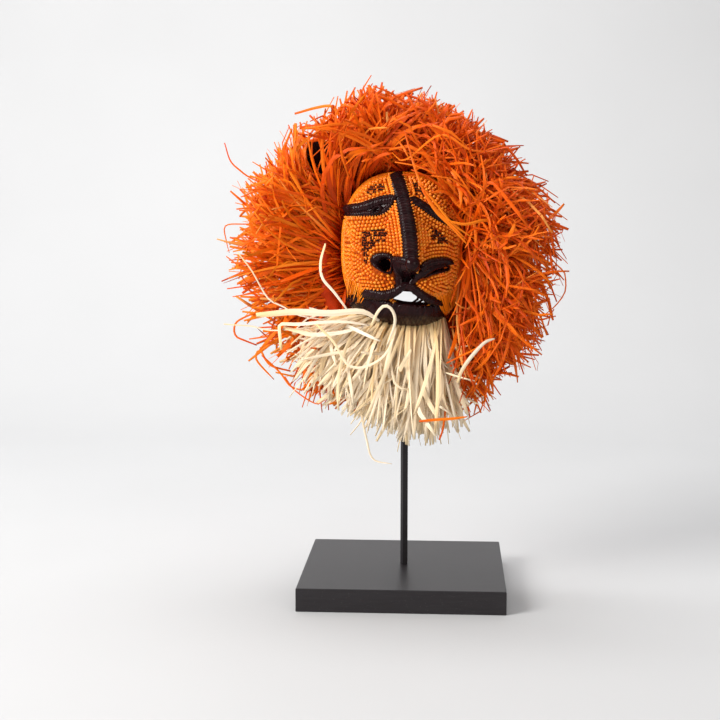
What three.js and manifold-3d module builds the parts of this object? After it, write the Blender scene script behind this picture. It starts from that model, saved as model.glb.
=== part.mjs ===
// A woven palm-fibre animal mask with a raffia mane and beard, held up by a square bar on a black base.
// Millimetres, +Z up, the face looks along -Y. The origin is the middle of the base's underside.
import * as THREE from "three";
import { mergeVertices } from "three/addons/utils/BufferGeometryUtils.js";
import Module from "manifold-3d";

const wasm = await Module();
wasm.setup();

// Sizes of the stand
const baseWidth = 220;
const baseDepth = 220;
const baseHeight = 25;
const baseChamfer = 0.8;
const barSide = 6;
const barTurn = THREE.MathUtils.degToRad(28);
const barSocketDepth = 15;
const hubWidth = 11;
const hubHeight = 14;
const hubCover = 8; // how far the hub reaches down over the bar
const armWire = 3;

// Sizes of the woven face
const faceCentreHeight = 377.4;
const faceCentreAcross = -2.6;
const faceHalfWidth = 63.5;
const faceHalfHeight = 80.3;
const faceDepth = 60;
const faceOutlinePower = 2.5;
const wall = 4;
const sideWall = 8;
const rimRoll = 4;
const rimPlane = -25; // the depth at which the dome meets its side wall

// Sizes of the dark wrapped rolls
const ridgeWidth = 13;
const ridgeHeight = 4;
const eyeWidth = 12;
const eyeHeight = 6;
const slitWidth = 2.4;
const lipHeight = 6;
const upperLipWidth = 9;
const lowerLipWidth = 24;
const lowerLipHeight = 9;
const nostrilRoll = 4;
const nostrilDepth = 9;
const noseKnot = 8;
const philtrumRoll = 4.2;
const rollRoot = 2; // how far a roll reaches into the face before it is trimmed
const rollLimit = 0.96; // rolls end at this share of the face's outline

// Sizes of the ears, the mane and the beard
const earLength = 74;
const earWidth = 38;
const earThickness = 4;
const earParting = 30;
const earLean = THREE.MathUtils.degToRad(42);
const maneRoot = 64;
const maneThickness = 126;
const maneMiddle = 14; // the mane's middle plane, behind the rim plane
const maneReach = 112;
const maneShares = [1.05, 0.84, 0.76, 0.77, 0.82, 0.92, 1.05, 1.05, 1.02, 1, 1, 1.02]; // of the reach, round the face
const maneCoreShare = 0.86;
const maneGrooves = 20;
const maneLocks = 96;
const maneLockWidth = 28;
const lockTip = 0.26;
const lockFlatness = 0.6;
const beardReach = 154;
const beardRise = 26;
const beardLeft = 118;
const beardRight = 92;
const beardAcross = -6;
const beardDepth = 92;
const beardThickness = 44;
const beardLocks = 26;
const beardLockWidth = 23;
const beardPlane = -8; // the beard hangs in front of this depth, the mane behind it

// Gaps
const fit = 0.3;
const sewn = 0.4; // between the woven face and what is sewn on it
const detail = 0.12; // smaller steps of a surface are left out
const rough = 0.9; // and of the raffia
const raffiaGap = 1.6;

const { sin, cos, abs, exp, PI, hypot, sqrt, min, max } = Math;
const vec = (x, y, z) => new THREE.Vector3(x, y, z);
const bell = (x, centre, width) => exp(-(((x - centre) / width) ** 2));
const ramp = (x, low, high) => THREE.MathUtils.smoothstep(x, low, high);

// The same series of numbers from 0 to 1 each time, for uneven locks
function unevenness(seed) {
  let state = seed;
  return () => {
    state = (state * 16807) % 2147483647;
    return state / 2147483647;
  };
}

// A closed geometry as a solid with its faces turned out, and back
function solidOf(geometry) {
  const bare = new THREE.BufferGeometry().setAttribute("position", geometry.getAttribute("position"));
  if (geometry.index) bare.setIndex(geometry.index);
  const merged = mergeVertices(bare, 1e-4);
  const corners = merged.index.array;
  const kept = [];
  for (let i = 0; i < corners.length; i += 3) {
    const [a, b, c] = corners.subarray(i, i + 3);
    if (a !== b && b !== c && c !== a) kept.push(a, b, c);
  }
  const meshed = (faces) =>
    new wasm.Manifold(
      new wasm.Mesh({
        numProp: 3,
        vertProperties: merged.attributes.position.array,
        triVerts: new Uint32Array(faces),
      }),
    );
  const solid = meshed(kept);
  return solid.volume() > 0 ? solid : meshed(kept.reverse());
}

function geometryOf(solid) {
  const mesh = solid.getMesh();
  return new THREE.BufferGeometry()
    .setAttribute("position", new THREE.BufferAttribute(mesh.vertProperties, 3))
    .setIndex(new THREE.BufferAttribute(mesh.triVerts, 1));
}

// Moves every vertex of a geometry to where place() puts it
function reshape(geometry, place) {
  const spots = geometry.getAttribute("position");
  const spot = new THREE.Vector3();
  for (let i = 0; i < spots.count; i++) {
    const moved = place(spot.fromBufferAttribute(spots, i));
    spots.setXYZ(i, moved.x, moved.y, moved.z);
  }
  return geometry;
}

const join = (solids) => wasm.Manifold.union(solids);
const cutBy = (solid, cutters) => cutters.reduce((left, cutter) => left.subtract(cutter), solid);

// A box solid between two corners
function block(low, high) {
  const size = high.clone().sub(low);
  const middle = low.clone().add(high).multiplyScalar(0.5);
  return solidOf(new THREE.BoxGeometry(size.x, size.y, size.z).translate(middle.x, middle.y, middle.z));
}

// The largest solid of a cut piece, without the crumbs that a cut can leave
function mainBody(solid, step = detail) {
  return solid.simplify(step).decompose().sort((a, b) => b.volume() - a.volume())[0];
}

// The woven face. In its own frame x is across, z is up and out is towards the viewer.

function outlineRadius(angle, grow = 0) {
  const across = abs(cos(angle) / (faceHalfWidth + grow)) ** faceOutlinePower;
  const upward = abs(sin(angle) / (faceHalfHeight + grow)) ** faceOutlinePower;
  return (across + upward) ** (-1 / faceOutlinePower);
}

// Where the nose ridge runs: it leans to one side on its way down
const ridgeAcross = (v) => 0.175 - 0.084 * v - 0.199 * v * v;

// How far out from the middle a point is: 1 on the outline
const shareOut = (u, v) => (abs(u) ** faceOutlinePower + abs(v) ** faceOutlinePower) ** (1 / faceOutlinePower);

// How far the face stands out of its rim plane, from across (u) and up (v) as shares of its half sizes
function reliefAt(u, v) {
  const r = min(shareOut(u, v), 1);
  const dome = (1 - r ** 2.4) ** 0.55;
  const edge = 1 - r ** 4;
  const fall = ramp(0.95 - v, 0, 1.15);
  const noseEnd = ramp(v, -0.36, -0.2);
  const nose = (0.05 + 0.21 * fall) * bell(u, ridgeAcross(v), 0.17 + 0.07 * fall) * noseEnd;
  const pads = 0.13 * bell(u, -0.48, 0.34) * bell(v, -0.42, 0.22) + 0.12 * bell(u, 0.62, 0.32) * bell(v, -0.4, 0.22);
  const muzzle = 0.2 * bell(u, 0.1, 0.55) * bell(v, -0.72, 0.26);
  const sockets = 0.09 * bell(u, -0.42, 0.3) * bell(v, 0.4, 0.17) + 0.09 * bell(u, 0.52, 0.3) * bell(v, 0.33, 0.17);
  return dome + edge * (nose + pads + muzzle - sockets);
}

// A point of the face's outer surface at shares u and v, and the way out of it
function facePoint(u, v) {
  return vec(u * faceHalfWidth, -faceDepth * reliefAt(u, v), v * faceHalfHeight);
}

function faceNormal(u, v) {
  const step = 0.01;
  const across = facePoint(u + step, v).sub(facePoint(u - step, v));
  const upward = facePoint(u, v + step).sub(facePoint(u, v - step));
  return across.cross(upward).normalize();
}

// The dome at share t of its outline, then its side wall from t = 1 to 2, moved in along its own normal
function shellPoint(angle, t, inset) {
  const radius = outlineRadius(angle);
  const edge = vec(radius * cos(angle), 0, radius * sin(angle));
  if (t > 1) {
    const inward = outlineRadius(angle, -inset);
    return vec(inward * cos(angle), (t - 1) * sideWall, inward * sin(angle));
  }
  const slope = sin((t * PI) / 2);
  const u = (edge.x / faceHalfWidth) * slope;
  const v = (edge.z / faceHalfHeight) * slope;
  const towards = t < 0.98 ? faceNormal(u, v) : edge.clone().normalize();
  return facePoint(u, v).addScaledVector(towards, -inset);
}

const shellSegments = 32;
const shellRings = 9;

// The shell's steps from its middle to its edge
const shellSteps = Array.from({ length: shellRings + 1 }, (_, i) => i / shellRings);

// Turned round its axis, with the step as the radius, then placed on the face
function shellFrom(outerInset, innerInset) {
  const sides = [outerInset, innerInset];
  const outer = [...shellSteps, 2].map((t) => new THREE.Vector2(t, 0));
  const inner = [2, ...shellSteps.toReversed()].map((t) => new THREE.Vector2(t, -1));
  const turned = new THREE.LatheGeometry([...outer, ...inner], shellSegments);
  reshape(turned, (p) => {
    const t = hypot(p.x, p.z);
    return shellPoint(Math.atan2(-p.x, p.z), t, sides[p.y > -0.5 ? 0 : 1]);
  });
  return solidOf(turned);
}

// The face's whole volume back to its rim, to trim what is sewn on or rests inside it
function filledFace(grow, back = sideWall) {
  const profile = [...shellSteps, 2].map((t) => new THREE.Vector2(t, 0));
  const turned = new THREE.LatheGeometry([...profile, new THREE.Vector2(0, -1)], shellSegments);
  reshape(turned, (p) => {
    const t = hypot(p.x, p.z);
    if (p.y < -0.5) return vec(0, back, 0);
    const spot = shellPoint(Math.atan2(-p.x, p.z), t, -grow);
    return t > 1 ? spot.setY(back) : spot;
  });
  return solidOf(turned);
}

const faceRoom = filledFace(sewn);

// A roll laid on the face along a line of [u, v] points. half and rise give its half width and its height at
// the share t along it and x across it, -1 to 1. grow widens it all round, to make room for it elsewhere.
function strip({ line, half, rise, steps, across = 4 }, grow = 0) {
  const curve = new THREE.CatmullRomCurve3(line.map(([u, v]) => vec(u * faceHalfWidth, 0, v * faceHalfHeight)));
  const slab = new THREE.BoxGeometry(2, 1, 1, across, 1, steps).translate(0, 0.5, 0.5);
  return solidOf(
    reshape(slab, (p) => {
      const t = min(max(p.z, 0), 1);
      const tangent = curve.getTangentAt(t);
      const middle = curve.getPointAt(t).addScaledVector(tangent, grow * Math.round(2 * t - 1));
      const reach = p.x * (half(t) + grow);
      const x = middle.x + tangent.z * reach;
      const z = middle.z - tangent.x * reach;
      const hold = min(1, (rollLimit + grow / faceHalfWidth) / shareOut(x / faceHalfWidth, z / faceHalfHeight));
      const u = (hold * x) / faceHalfWidth;
      const v = (hold * z) / faceHalfHeight;
      const stand = p.y > 0.5 ? sewn + grow + rise(t, p.x) : -rollRoot;
      return facePoint(u, v).addScaledVector(faceNormal(u, v), stand);
    }),
  );
}

// Lines of the features, as shares of the face's half width and half height
const ridgeLine = [0.96, 0.75, 0.54, 0.33, 0.12, -0.09].map((v) => [ridgeAcross(v), v]);
const leftEyeLine = [[-0.93, 0.47], [-0.76, 0.49], [-0.6, 0.505], [-0.42, 0.53], [-0.26, 0.565], [-0.12, 0.62]];
const rightEyeLine = [[0.15, 0.63], [0.3, 0.6], [0.44, 0.52], [0.56, 0.45], [0.68, 0.39], [0.83, 0.33]];
const upperLipLine = [[-0.78, -0.54], [-0.64, -0.55], [-0.5, -0.56], [-0.36, -0.575], [-0.2, -0.57], [-0.07, -0.53],
  [0.03, -0.485], [0.13, -0.475], [0.23, -0.51], [0.36, -0.585], [0.52, -0.66], [0.66, -0.7]];
const lowerLipLine = [[-0.8, -0.67], [-0.64, -0.71], [-0.45, -0.755], [-0.2, -0.8], [0.08, -0.835], [0.34, -0.845],
  [0.53, -0.82], [0.68, -0.76]];
const mouthOutline = [[-0.11, -0.625], [-0.016, -0.555], [0.059, -0.51], [0.12, -0.512], [0.17, -0.569],
  [0.25, -0.605], [0.34, -0.65], [0.47, -0.709], [0.355, -0.722], [0.225, -0.712], [0.06, -0.69]];

const nostrils = {
  nostril_left: { u: -0.275, v: -0.165, across: 14, up: 12.5, tilt: -0.35 },
  nostril_right: { u: 0.58, v: -0.215, across: 23.5, up: 9, tilt: 0.34 },
};

// A nostril: a roll round a blind funnel. shell = false gives the room that it takes in the face.
function nostril({ u, v, across, up, tilt }, grow, hollow) {
  const roll = nostrilRoll + grow;
  const ring = Array.from({ length: 5 }, (_, i) => {
    const turn = -PI / 2 + (i / 4) * PI;
    return new THREE.Vector2(1, 0).set(max(cos(turn), 0), sin(turn));
  });
  const outerSide = ring.map((p) => [1, p.x * roll * 0.6, p.y * roll]);
  const cup = [
    [0, 0, -nostrilDepth - grow],
    [0.45, 0, -nostrilDepth - grow],
    ...outerSide,
    ...(hollow ? [[0.62, 0, roll * 0.5], [0.3, 0, -nostrilDepth + 3], [0, 0, -nostrilDepth + 3]] : [[0, 0, roll]]),
  ];
  // Radii are shares of the opening's half size plus a fixed part, so the x of each profile point holds its number
  const turned = new THREE.LatheGeometry(cup.map((_, i) => new THREE.Vector2(cup[i][0] || cup[i][1] ? 1 : 0, i)), 16);
  const centre = facePoint(u, v);
  const out = faceNormal(u, v);
  const right = vec(cos(tilt), 0, sin(tilt));
  right.addScaledVector(out, -right.dot(out)).normalize();
  const upward = right.clone().cross(out).normalize();
  reshape(turned, (p) => {
    const [share, extra, rise] = cup[Math.round(p.y)];
    const angle = Math.atan2(p.x, p.z);
    const r = hypot(p.x, p.z) > 0.5 ? 1 : 0;
    const x = r * (share * (across - nostrilRoll) + extra + (share ? grow * 0.4 : 0)) * cos(angle);
    const y = r * (share * (up - nostrilRoll) + extra + (share ? grow * 0.4 : 0)) * sin(angle);
    return centre.clone().addScaledVector(right, x).addScaledVector(upward, y).addScaledVector(out, rise);
  });
  return solidOf(turned);
}

function mouthHole() {
  const outline = new THREE.Shape(
    mouthOutline.map(([u, v]) => new THREE.Vector2(u * faceHalfWidth, v * faceHalfHeight)),
  );
  const plug = new THREE.ExtrudeGeometry(outline, { depth: 3 * faceDepth, bevelEnabled: false });
  return solidOf(plug.rotateX(PI / 2).translate(0, faceDepth, 0));
}

const nostrilRooms = join(Object.values(nostrils).map((n) => nostril(n, sewn, false)));
const mouth = mouthHole();

const maskShell = shellFrom(0, wall).subtract(nostrilRooms).subtract(mouth);

// The dark rolls, each trimmed by the face and by the ones before it
const rounded = (x) => sqrt(max(1 - x * x, 0));
const ends = (t, share) => sqrt(min(1, (t + 0.02) / share, (1.02 - t) / share));

const rolls = {
  nose_ridge: {
    line: ridgeLine,
    half: () => ridgeWidth / 2,
    rise: (t, x) => ridgeHeight * (0.35 + 0.65 * rounded(x)),
    steps: 10,
  },
  eye_left: {
    line: leftEyeLine,
    half: (t) => (eyeWidth / 2) * ends(t, 0.2),
    rise: (t, x) => eyeHeight * (abs(x) * eyeWidth < slitWidth ? 0.35 : 0.4 + 0.6 * rounded(2 * abs(x) - 1)),
    steps: 9,
    across: 8,
  },
  eye_right: {
    line: rightEyeLine,
    half: (t) => (eyeWidth / 2) * 0.8 * ends(t, 0.2),
    rise: (t, x) => eyeHeight * (0.35 + 0.5 * rounded(x)),
    steps: 8,
  },
  upper_lip: {
    line: upperLipLine,
    half: (t) => (upperLipWidth / 2) * ends(t, 0.12),
    rise: (t, x) => lipHeight * (0.3 + 0.7 * rounded(x)),
    steps: 14,
  },
  lower_lip: {
    line: lowerLipLine,
    half: (t) => (lowerLipWidth / 2) * (0.25 + 0.75 * sin(PI * (0.08 + 0.78 * t)) ** 0.8),
    rise: (t, x) => lowerLipHeight * (0.25 + 0.75 * rounded(x)),
    steps: 13,
    across: 6,
  },
};

// The nose's knot with its wing towards the left nostril and the two rolls down to the lip
function noseTip() {
  const [u, v] = [0.2, -0.17];
  const centre = facePoint(u, v).addScaledVector(faceNormal(u, v), noseKnot * 0.25);
  const knot = new THREE.SphereGeometry(noseKnot, 8, 6).translate(centre.x, centre.y, centre.z);
  const cord = (line) => ({
    line,
    half: () => philtrumRoll,
    rise: (t, x) => philtrumRoll * (0.4 + 0.7 * rounded(x)),
    steps: 4,
  });
  const cords = [
    [[0.04, -0.16], [-0.01, -0.29], [0.01, -0.43]],
    [[0.24, -0.2], [0.25, -0.33], [0.17, -0.43]],
    [[-0.05, -0.145], [0.06, -0.12], [0.18, -0.15]],
  ];
  return join([solidOf(knot), ...cords.map((line) => strip(cord(line)))]);
}

function sewnPieces() {
  const made = {};
  const taken = [nostrilRooms];
  for (const [name, roll] of Object.entries(rolls)) {
    made[name] = mainBody(strip(roll).subtract(faceRoom).subtract(mouth).subtract(join(taken)));
    taken.push(strip(roll, fit));
  }
  made.nose_tip = mainBody(noseTip().subtract(faceRoom).subtract(join(taken)));
  for (const [name, sizes] of Object.entries(nostrils)) made[name] = nostril(sizes, 0, true);
  return made;
}

// The roll that closes the side wall's back edge, where the raffia is tied
function ring(grow, lift = 0) {
  const turned = new THREE.TorusGeometry(10, 1, 6, shellSegments);
  reshape(turned, (p) => {
    const angle = Math.atan2(p.y, p.x);
    const outwards = (hypot(p.x, p.y) - 10) * (rimRoll + grow);
    const radius = outlineRadius(angle, -wall / 2 + outwards);
    return vec(radius * cos(angle), sideWall + fit + rimRoll + lift + p.z * (rimRoll + grow), radius * sin(angle));
  });
  return solidOf(turned);
}

// An ear: a cupped leaf that rises from the rim and leans out
function ear(side, grow) {
  const leaf = new THREE.BoxGeometry(2, 1, 1, 4, 1, 7).translate(0, 0.5, 0.5);
  const angle = side < 0 ? PI - earLean * 1.15 : earLean * 1.15;
  const radius = outlineRadius(angle, rimRoll + fit + 1.5);
  const foot = vec(radius * cos(angle), sideWall + rimRoll, radius * sin(angle));
  const up = vec(side * sin(earLean), 0.1, cos(earLean)).normalize();
  const across = vec(cos(earLean), 0, -side * sin(earLean));
  const back = vec(0, 1, 0);
  reshape(leaf, (p) => {
    const t = p.z;
    const halfWidth = (earWidth / 2) * (0.35 + 0.65 * sin(PI * min(t * 0.92 + 0.1, 1)) ** 0.7) * (t > 0.97 ? 0.5 : 1);
    const cup = 0.32 * earWidth * (1 - p.x * p.x) * sin(PI * min(t + 0.1, 1)) - 0.08 * earWidth;
    return foot
      .clone()
      .addScaledVector(up, t * earLength - grow + 2 * grow * t)
      .addScaledVector(across, p.x * (halfWidth + grow))
      .addScaledVector(back, cup + (p.y - 0.5) * (earThickness + 5 * grow));
  });
  return solidOf(leaf);
}

// The room that the mane leaves for an ear: round it, and a parting in front of its upper end
function earRoom(side) {
  const grown = ear(side, raffiaGap);
  const { min: low, max: high } = grown.boundingBox();
  const upper = grown.intersect(block(vec(low[0], low[1], high[2] - earParting), vec(...high)));
  return grown.add(wasm.Manifold.hull([upper, upper.translate([side * 14, -maneThickness, 10])]));
}

// The stand

const atFace = (solid) => solid.translate([faceCentreAcross, rimPlane, faceCentreHeight]);
const hubBottom = faceCentreHeight - 0.97 * faceHalfHeight;
const barTop = hubBottom + hubCover;

function bar(grow, low, high) {
  const side = barSide + 2 * grow;
  const box = new THREE.BoxGeometry(side, side, high - low).rotateZ(barTurn).translate(0, 0, (high + low) / 2);
  return solidOf(box);
}

function base() {
  const inset = baseChamfer;
  const outline = new THREE.Shape();
  const [x, y] = [baseWidth / 2 - inset, baseDepth / 2 - inset];
  outline.moveTo(-x, -y).lineTo(x, -y).lineTo(x, y).lineTo(-x, y).closePath();
  const slab = new THREE.ExtrudeGeometry(outline, {
    depth: baseHeight - 2 * inset,
    bevelSize: inset,
    bevelThickness: inset,
    bevelSegments: 1,
  });
  const socket = bar(fit, baseHeight - barSocketDepth, baseHeight + 1);
  return solidOf(slab.translate(0, 0, inset)).subtract(socket);
}

function wire(points, width) {
  const section = new THREE.Shape().absarc(0, 0, width / 2, 0, 2 * PI);
  const path = new THREE.CatmullRomCurve3(points);
  const options = { steps: 2 * points.length, curveSegments: 3, extrudePath: path };
  return solidOf(new THREE.ExtrudeGeometry(section, options));
}

// Where an arm's end rests inside the shell, in the stand's frame
function insideSpot(u, v, stand) {
  return facePoint(u, v)
    .addScaledVector(faceNormal(u, v), -wall - stand)
    .add(vec(faceCentreAcross, rimPlane, faceCentreHeight));
}

function cradle() {
  const hub = block(
    vec(-hubWidth / 2, -hubWidth / 2, hubBottom),
    vec(hubWidth / 2, hubWidth / 2, hubBottom + hubHeight),
  ).rotate([0, 0, THREE.MathUtils.radToDeg(barTurn)]);
  const socket = bar(fit, hubBottom - 1, barTop + fit);
  const from = vec(0, 0, hubBottom + hubHeight - armWire);
  const rest = armWire / 2 + 1;
  const arms = [
    [0.08, 0.6, vec(16, -6, 14)],
    [-0.62, -0.18, vec(-24, -3, 10)],
    [0.66, -0.12, vec(26, -3, 14)],
  ].map(([u, v, bend]) => {
    const end = insideSpot(u, v, rest);
    const near = insideSpot(u, v - 0.2, 5 * rest);
    return wire([from, from.clone().add(bend), near, end], armWire);
  });
  return join([hub, ...arms])
    .subtract(socket)
    .subtract(atFace(join([shellFrom(-fit, wall + fit), nostrilRooms])));
}

// The raffia

// One lock: a folded three-sided bundle, blunt at its tip, that sags by droop over its length
function lock(root, way, length, width, droop) {
  const side = vec(0, 0, 1).cross(way);
  if (side.length() < 0.1) side.set(1, 0, 0);
  side.normalize();
  const other = way.clone().cross(side).normalize();
  const bundle = new THREE.CylinderGeometry(width * lockTip, width * 0.5, 1, 3, 2).translate(0, 0.5, 0);
  reshape(bundle, (p) =>
    root
      .clone()
      .addScaledVector(way, p.y * length)
      .addScaledVector(side, p.x)
      .addScaledVector(other, -p.z * lockFlatness)
      .add(vec(0, 0, -droop * length * p.y * p.y)),
  );
  return solidOf(bundle);
}

// How far the mane reaches in each direction round the face, as a share of its reach
function maneShare(angle) {
  const place = ((angle / (2 * PI) + 1) % 1) * maneShares.length;
  const from = Math.floor(place);
  const between = THREE.MathUtils.smoothstep(place - from, 0, 1);
  return THREE.MathUtils.lerp(maneShares[from % maneShares.length], maneShares[(from + 1) % maneShares.length], between);
}

// A point of the mane's body: round it by angle, and by turn from its front (-PI / 2) over its edge to its back
function manePoint(angle, turn, share = 1) {
  const out = (1 + cos(turn) * share) / 2;
  const thick = maneThickness / 2 - (maneThickness / 2 - maneRoot / 2) * abs(2 * out - 1) ** 2;
  const lump = 1 + 0.1 * sin(maneGrooves * angle + turn);
  const radius = outlineRadius(angle, -wall) + out * (maneReach * maneCoreShare * maneShare(angle) * lump + wall);
  const away = Math.sign(sin(turn)) * abs(sin(turn)) ** 0.6 * thick * share;
  return vec(radius * cos(angle), maneMiddle + away, radius * sin(angle));
}

function maneCore() {
  const turned = new THREE.TorusGeometry(10, 1, 8, 2 * maneGrooves);
  return solidOf(reshape(turned, (p) => manePoint(Math.atan2(p.y, p.x), Math.atan2(p.z, hypot(p.x, p.y) - 10))));
}

function mane(neighbours) {
  const uneven = unevenness(7);
  const golden = PI * (3 - sqrt(5));
  const locks = Array.from({ length: maneLocks }, (_, i) => {
    const angle = i * golden;
    const turn = -2.2 + 3.7 * ((i * 0.7548777) % 1); // from the front over the outer edge to the back
    const root = manePoint(angle, turn, 0.8);
    const lean = 0.5 * sin(turn) + 0.3 * (uneven() - 0.5);
    const swirl = angle + 0.55 * (uneven() - 0.5);
    const way = vec(cos(swirl) * cos(lean), sin(lean), sin(swirl) * cos(lean));
    const free = maneReach * maneShare(angle) * (0.93 + 0.14 * uneven()) + outlineRadius(angle) - hypot(root.x, root.z);
    const length = min(free / cos(lean), 0.5 * maneReach);
    return lock(root, way, length, maneLockWidth * (0.8 + 0.5 * uneven()), 0.05 + 0.12 * uneven());
  });
  return mainBody(cutBy(atFace(join([maneCore(), ...locks])), neighbours), rough);
}

// Where the beard may be: a fan with a flat back, in front of the mane and under the lower lip
function beardRoom(grow) {
  const fan = new THREE.SphereGeometry(1, 18, 9);
  const middle = faceCentreHeight - 0.9 * faceHalfHeight;
  reshape(fan, (p) => vec(
    beardAcross + p.x * ((p.x < 0 ? beardLeft : beardRight) + grow),
    beardPlane + grow + min(p.y, 0) * (beardDepth + 2 * grow),
    middle + p.z * ((p.z < 0 ? beardReach : beardRise) + grow),
  ));
  return solidOf(fan);
}

function beard(neighbours) {
  const uneven = unevenness(23);
  const rootHeight = -0.86 * faceHalfHeight;
  const locks = Array.from({ length: beardLocks }, (_, i) => {
    const spread = (i + 0.5) / beardLocks;
    const layer = (i * 0.618034) % 1;
    const angle = -PI * (0.98 - 0.72 * spread);
    const root = vec(
      faceHalfWidth * (-0.5 + 1.15 * spread),
      -0.75 * faceDepth + beardThickness * layer,
      rootHeight - 4 * sin(PI * spread),
    );
    const lean = -0.35 + 0.45 * layer;
    const way = vec(cos(angle) * cos(lean), sin(lean), sin(angle) * cos(lean));
    const length = beardReach * (0.7 + 0.14 * uneven() + 0.1 * bell(angle, -PI / 2, 0.5));
    return lock(root, way, length, beardLockWidth * (0.8 + 0.5 * uneven()), 0.08);
  });
  const core = new THREE.SphereGeometry(1, 18, 8);
  reshape(core, (p) => vec(
    p.x * 0.72 * faceHalfWidth,
    p.y * beardThickness * 0.42 - 0.42 * faceDepth,
    rootHeight - 0.1 * beardReach + p.z * 0.32 * beardReach,
  ));
  const hanging = atFace(join([solidOf(core), ...locks]));
  return mainBody(cutBy(hanging.intersect(beardRoom(0)), neighbours), rough);
}

// The finishes
const finish = (color, roughness) => new THREE.MeshStandardMaterial({ color, roughness, metalness: 0 });
const finishes = {
  black: finish(0x2e2c2f, 0.55),
  orange: finish(0xe8701a, 0.5),
  dark: finish(0x241a1a, 0.35),
  mane: finish(0xe05a10, 0.6),
  natural: finish(0xe9d9b6, 0.6),
};

const group = new THREE.Group();
function add(name, solid, material) {
  const mesh = new THREE.Mesh(geometryOf(solid.simplify(detail)), material);
  mesh.name = name;
  group.add(mesh);
}

const pieces = sewnPieces();
const ears = { ear_left: -1, ear_right: 1 };
const cradlePiece = cradle();
const faceRooms = [filledFace(raffiaGap), ring(raffiaGap)].map(atFace);
const lipRooms = [strip(rolls.upper_lip, raffiaGap), strip(rolls.lower_lip, raffiaGap)].map(atFace);
const innerRoom = atFace(filledFace(-wall / 2, 4 * maneThickness));
const barPiece = bar(0, baseHeight - barSocketDepth + fit, barTop);
const barRoom = bar(raffiaGap, baseHeight, barTop + fit);
const hubRoom = block(vec(-hubWidth, -hubWidth, hubBottom - fit), vec(hubWidth, hubWidth, hubBottom + 2 * hubHeight));
const earRooms = Object.values(ears).map((side) => atFace(earRoom(side)));

add("base", base(), finishes.black);
add("stand_bar", barPiece, finishes.black);
add("cradle", cradlePiece, finishes.black);
add("mask_shell", atFace(maskShell), finishes.orange);
add("rim_roll", atFace(ring(0)), finishes.orange);
for (const [name, solid] of Object.entries(pieces)) add(name, atFace(solid), finishes.dark);
for (const [name, side] of Object.entries(ears)) {
  add(name, atFace(mainBody(ear(side, 0).subtract(join([ring(fit), filledFace(fit)])))), finishes.dark);
}
add(
  "mane",
  mane([...faceRooms, innerRoom, ...earRooms, barRoom, hubRoom, beardRoom(raffiaGap)]),
  finishes.mane,
);
add("beard", beard([...faceRooms, ...lipRooms, barRoom]), finishes.natural);

export default group;
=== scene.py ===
import math

import bmesh
import bpy
import numpy as np
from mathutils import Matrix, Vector


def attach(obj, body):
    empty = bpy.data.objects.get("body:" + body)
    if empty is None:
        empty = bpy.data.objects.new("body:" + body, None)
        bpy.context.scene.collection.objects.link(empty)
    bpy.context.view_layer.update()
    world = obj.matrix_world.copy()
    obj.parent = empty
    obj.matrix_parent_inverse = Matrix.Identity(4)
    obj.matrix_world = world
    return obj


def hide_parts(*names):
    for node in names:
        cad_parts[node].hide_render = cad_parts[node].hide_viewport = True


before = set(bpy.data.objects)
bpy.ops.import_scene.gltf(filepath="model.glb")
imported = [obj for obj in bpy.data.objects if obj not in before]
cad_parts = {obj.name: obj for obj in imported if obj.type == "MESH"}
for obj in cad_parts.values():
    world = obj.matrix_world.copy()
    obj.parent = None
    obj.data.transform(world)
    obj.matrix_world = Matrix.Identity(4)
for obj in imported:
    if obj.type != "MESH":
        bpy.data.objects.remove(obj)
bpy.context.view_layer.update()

MM = 0.001

# The woven face's surface

HALF_WIDTH, HALF_HEIGHT, DEPTH = 63.5, 80.3, 60.0
OUTLINE_POWER = 2.5
FACE_CENTRE = np.array([-2.6, -25.0, 377.4])
SIDE_WALL = 8.0
WALL = 3.2
STEP = 0.004


def ramp(x, low, high):
    t = np.clip((x - low) / (high - low), 0, 1)
    return t * t * (3 - 2 * t)


def bell(x, centre, width):
    return np.exp(-(((x - centre) / width) ** 2))


def share_out(u, v):
    return (np.abs(u) ** OUTLINE_POWER + np.abs(v) ** OUTLINE_POWER) ** (1 / OUTLINE_POWER)


def ridge_across(v):
    return 0.175 - 0.084 * v - 0.199 * v * v


def relief(u, v):
    """How far the face stands out of its rim, as a share of its depth."""
    r = np.minimum(share_out(u, v), 1)
    dome = (1 - r**2.4) ** 0.55
    edge = 1 - r**4
    fall = ramp(0.95 - v, 0, 1.15)
    nose = (0.05 + 0.21 * fall) * bell(u, ridge_across(v), 0.17 + 0.07 * fall) * ramp(v, -0.36, -0.2)
    pads = (0.13 * bell(u, -0.48, 0.34) * bell(v, -0.42, 0.22)
            + 0.12 * bell(u, 0.62, 0.32) * bell(v, -0.4, 0.22))
    muzzle = 0.2 * bell(u, 0.1, 0.55) * bell(v, -0.72, 0.26)
    sockets = (0.09 * bell(u, -0.42, 0.3) * bell(v, 0.4, 0.17)
               + 0.09 * bell(u, 0.52, 0.3) * bell(v, 0.33, 0.17))
    return dome + edge * (nose + pads + muzzle - sockets)


def face_point(u, v):
    return np.stack([u * HALF_WIDTH, -DEPTH * relief(u, v), v * HALF_HEIGHT], -1) + FACE_CENTRE


def unit(vectors):
    return vectors / np.maximum(np.linalg.norm(vectors, axis=-1, keepdims=True), 1e-9)


def differences(u, v):
    """How a point of the face moves with a small step across and a small step upward."""
    across = face_point(u + STEP, v) - face_point(u - STEP, v)
    upward = face_point(u, v + STEP) - face_point(u, v - STEP)
    return across, upward


def face_normal(u, v):
    hold = np.minimum(1, 0.985 / np.maximum(share_out(u, v), 1e-6))
    return unit(np.cross(*differences(u * hold, v * hold)))


def on_face(u, v, lift):
    return face_point(u, v) + face_normal(u, v) * np.asarray(lift)[..., None]


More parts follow.
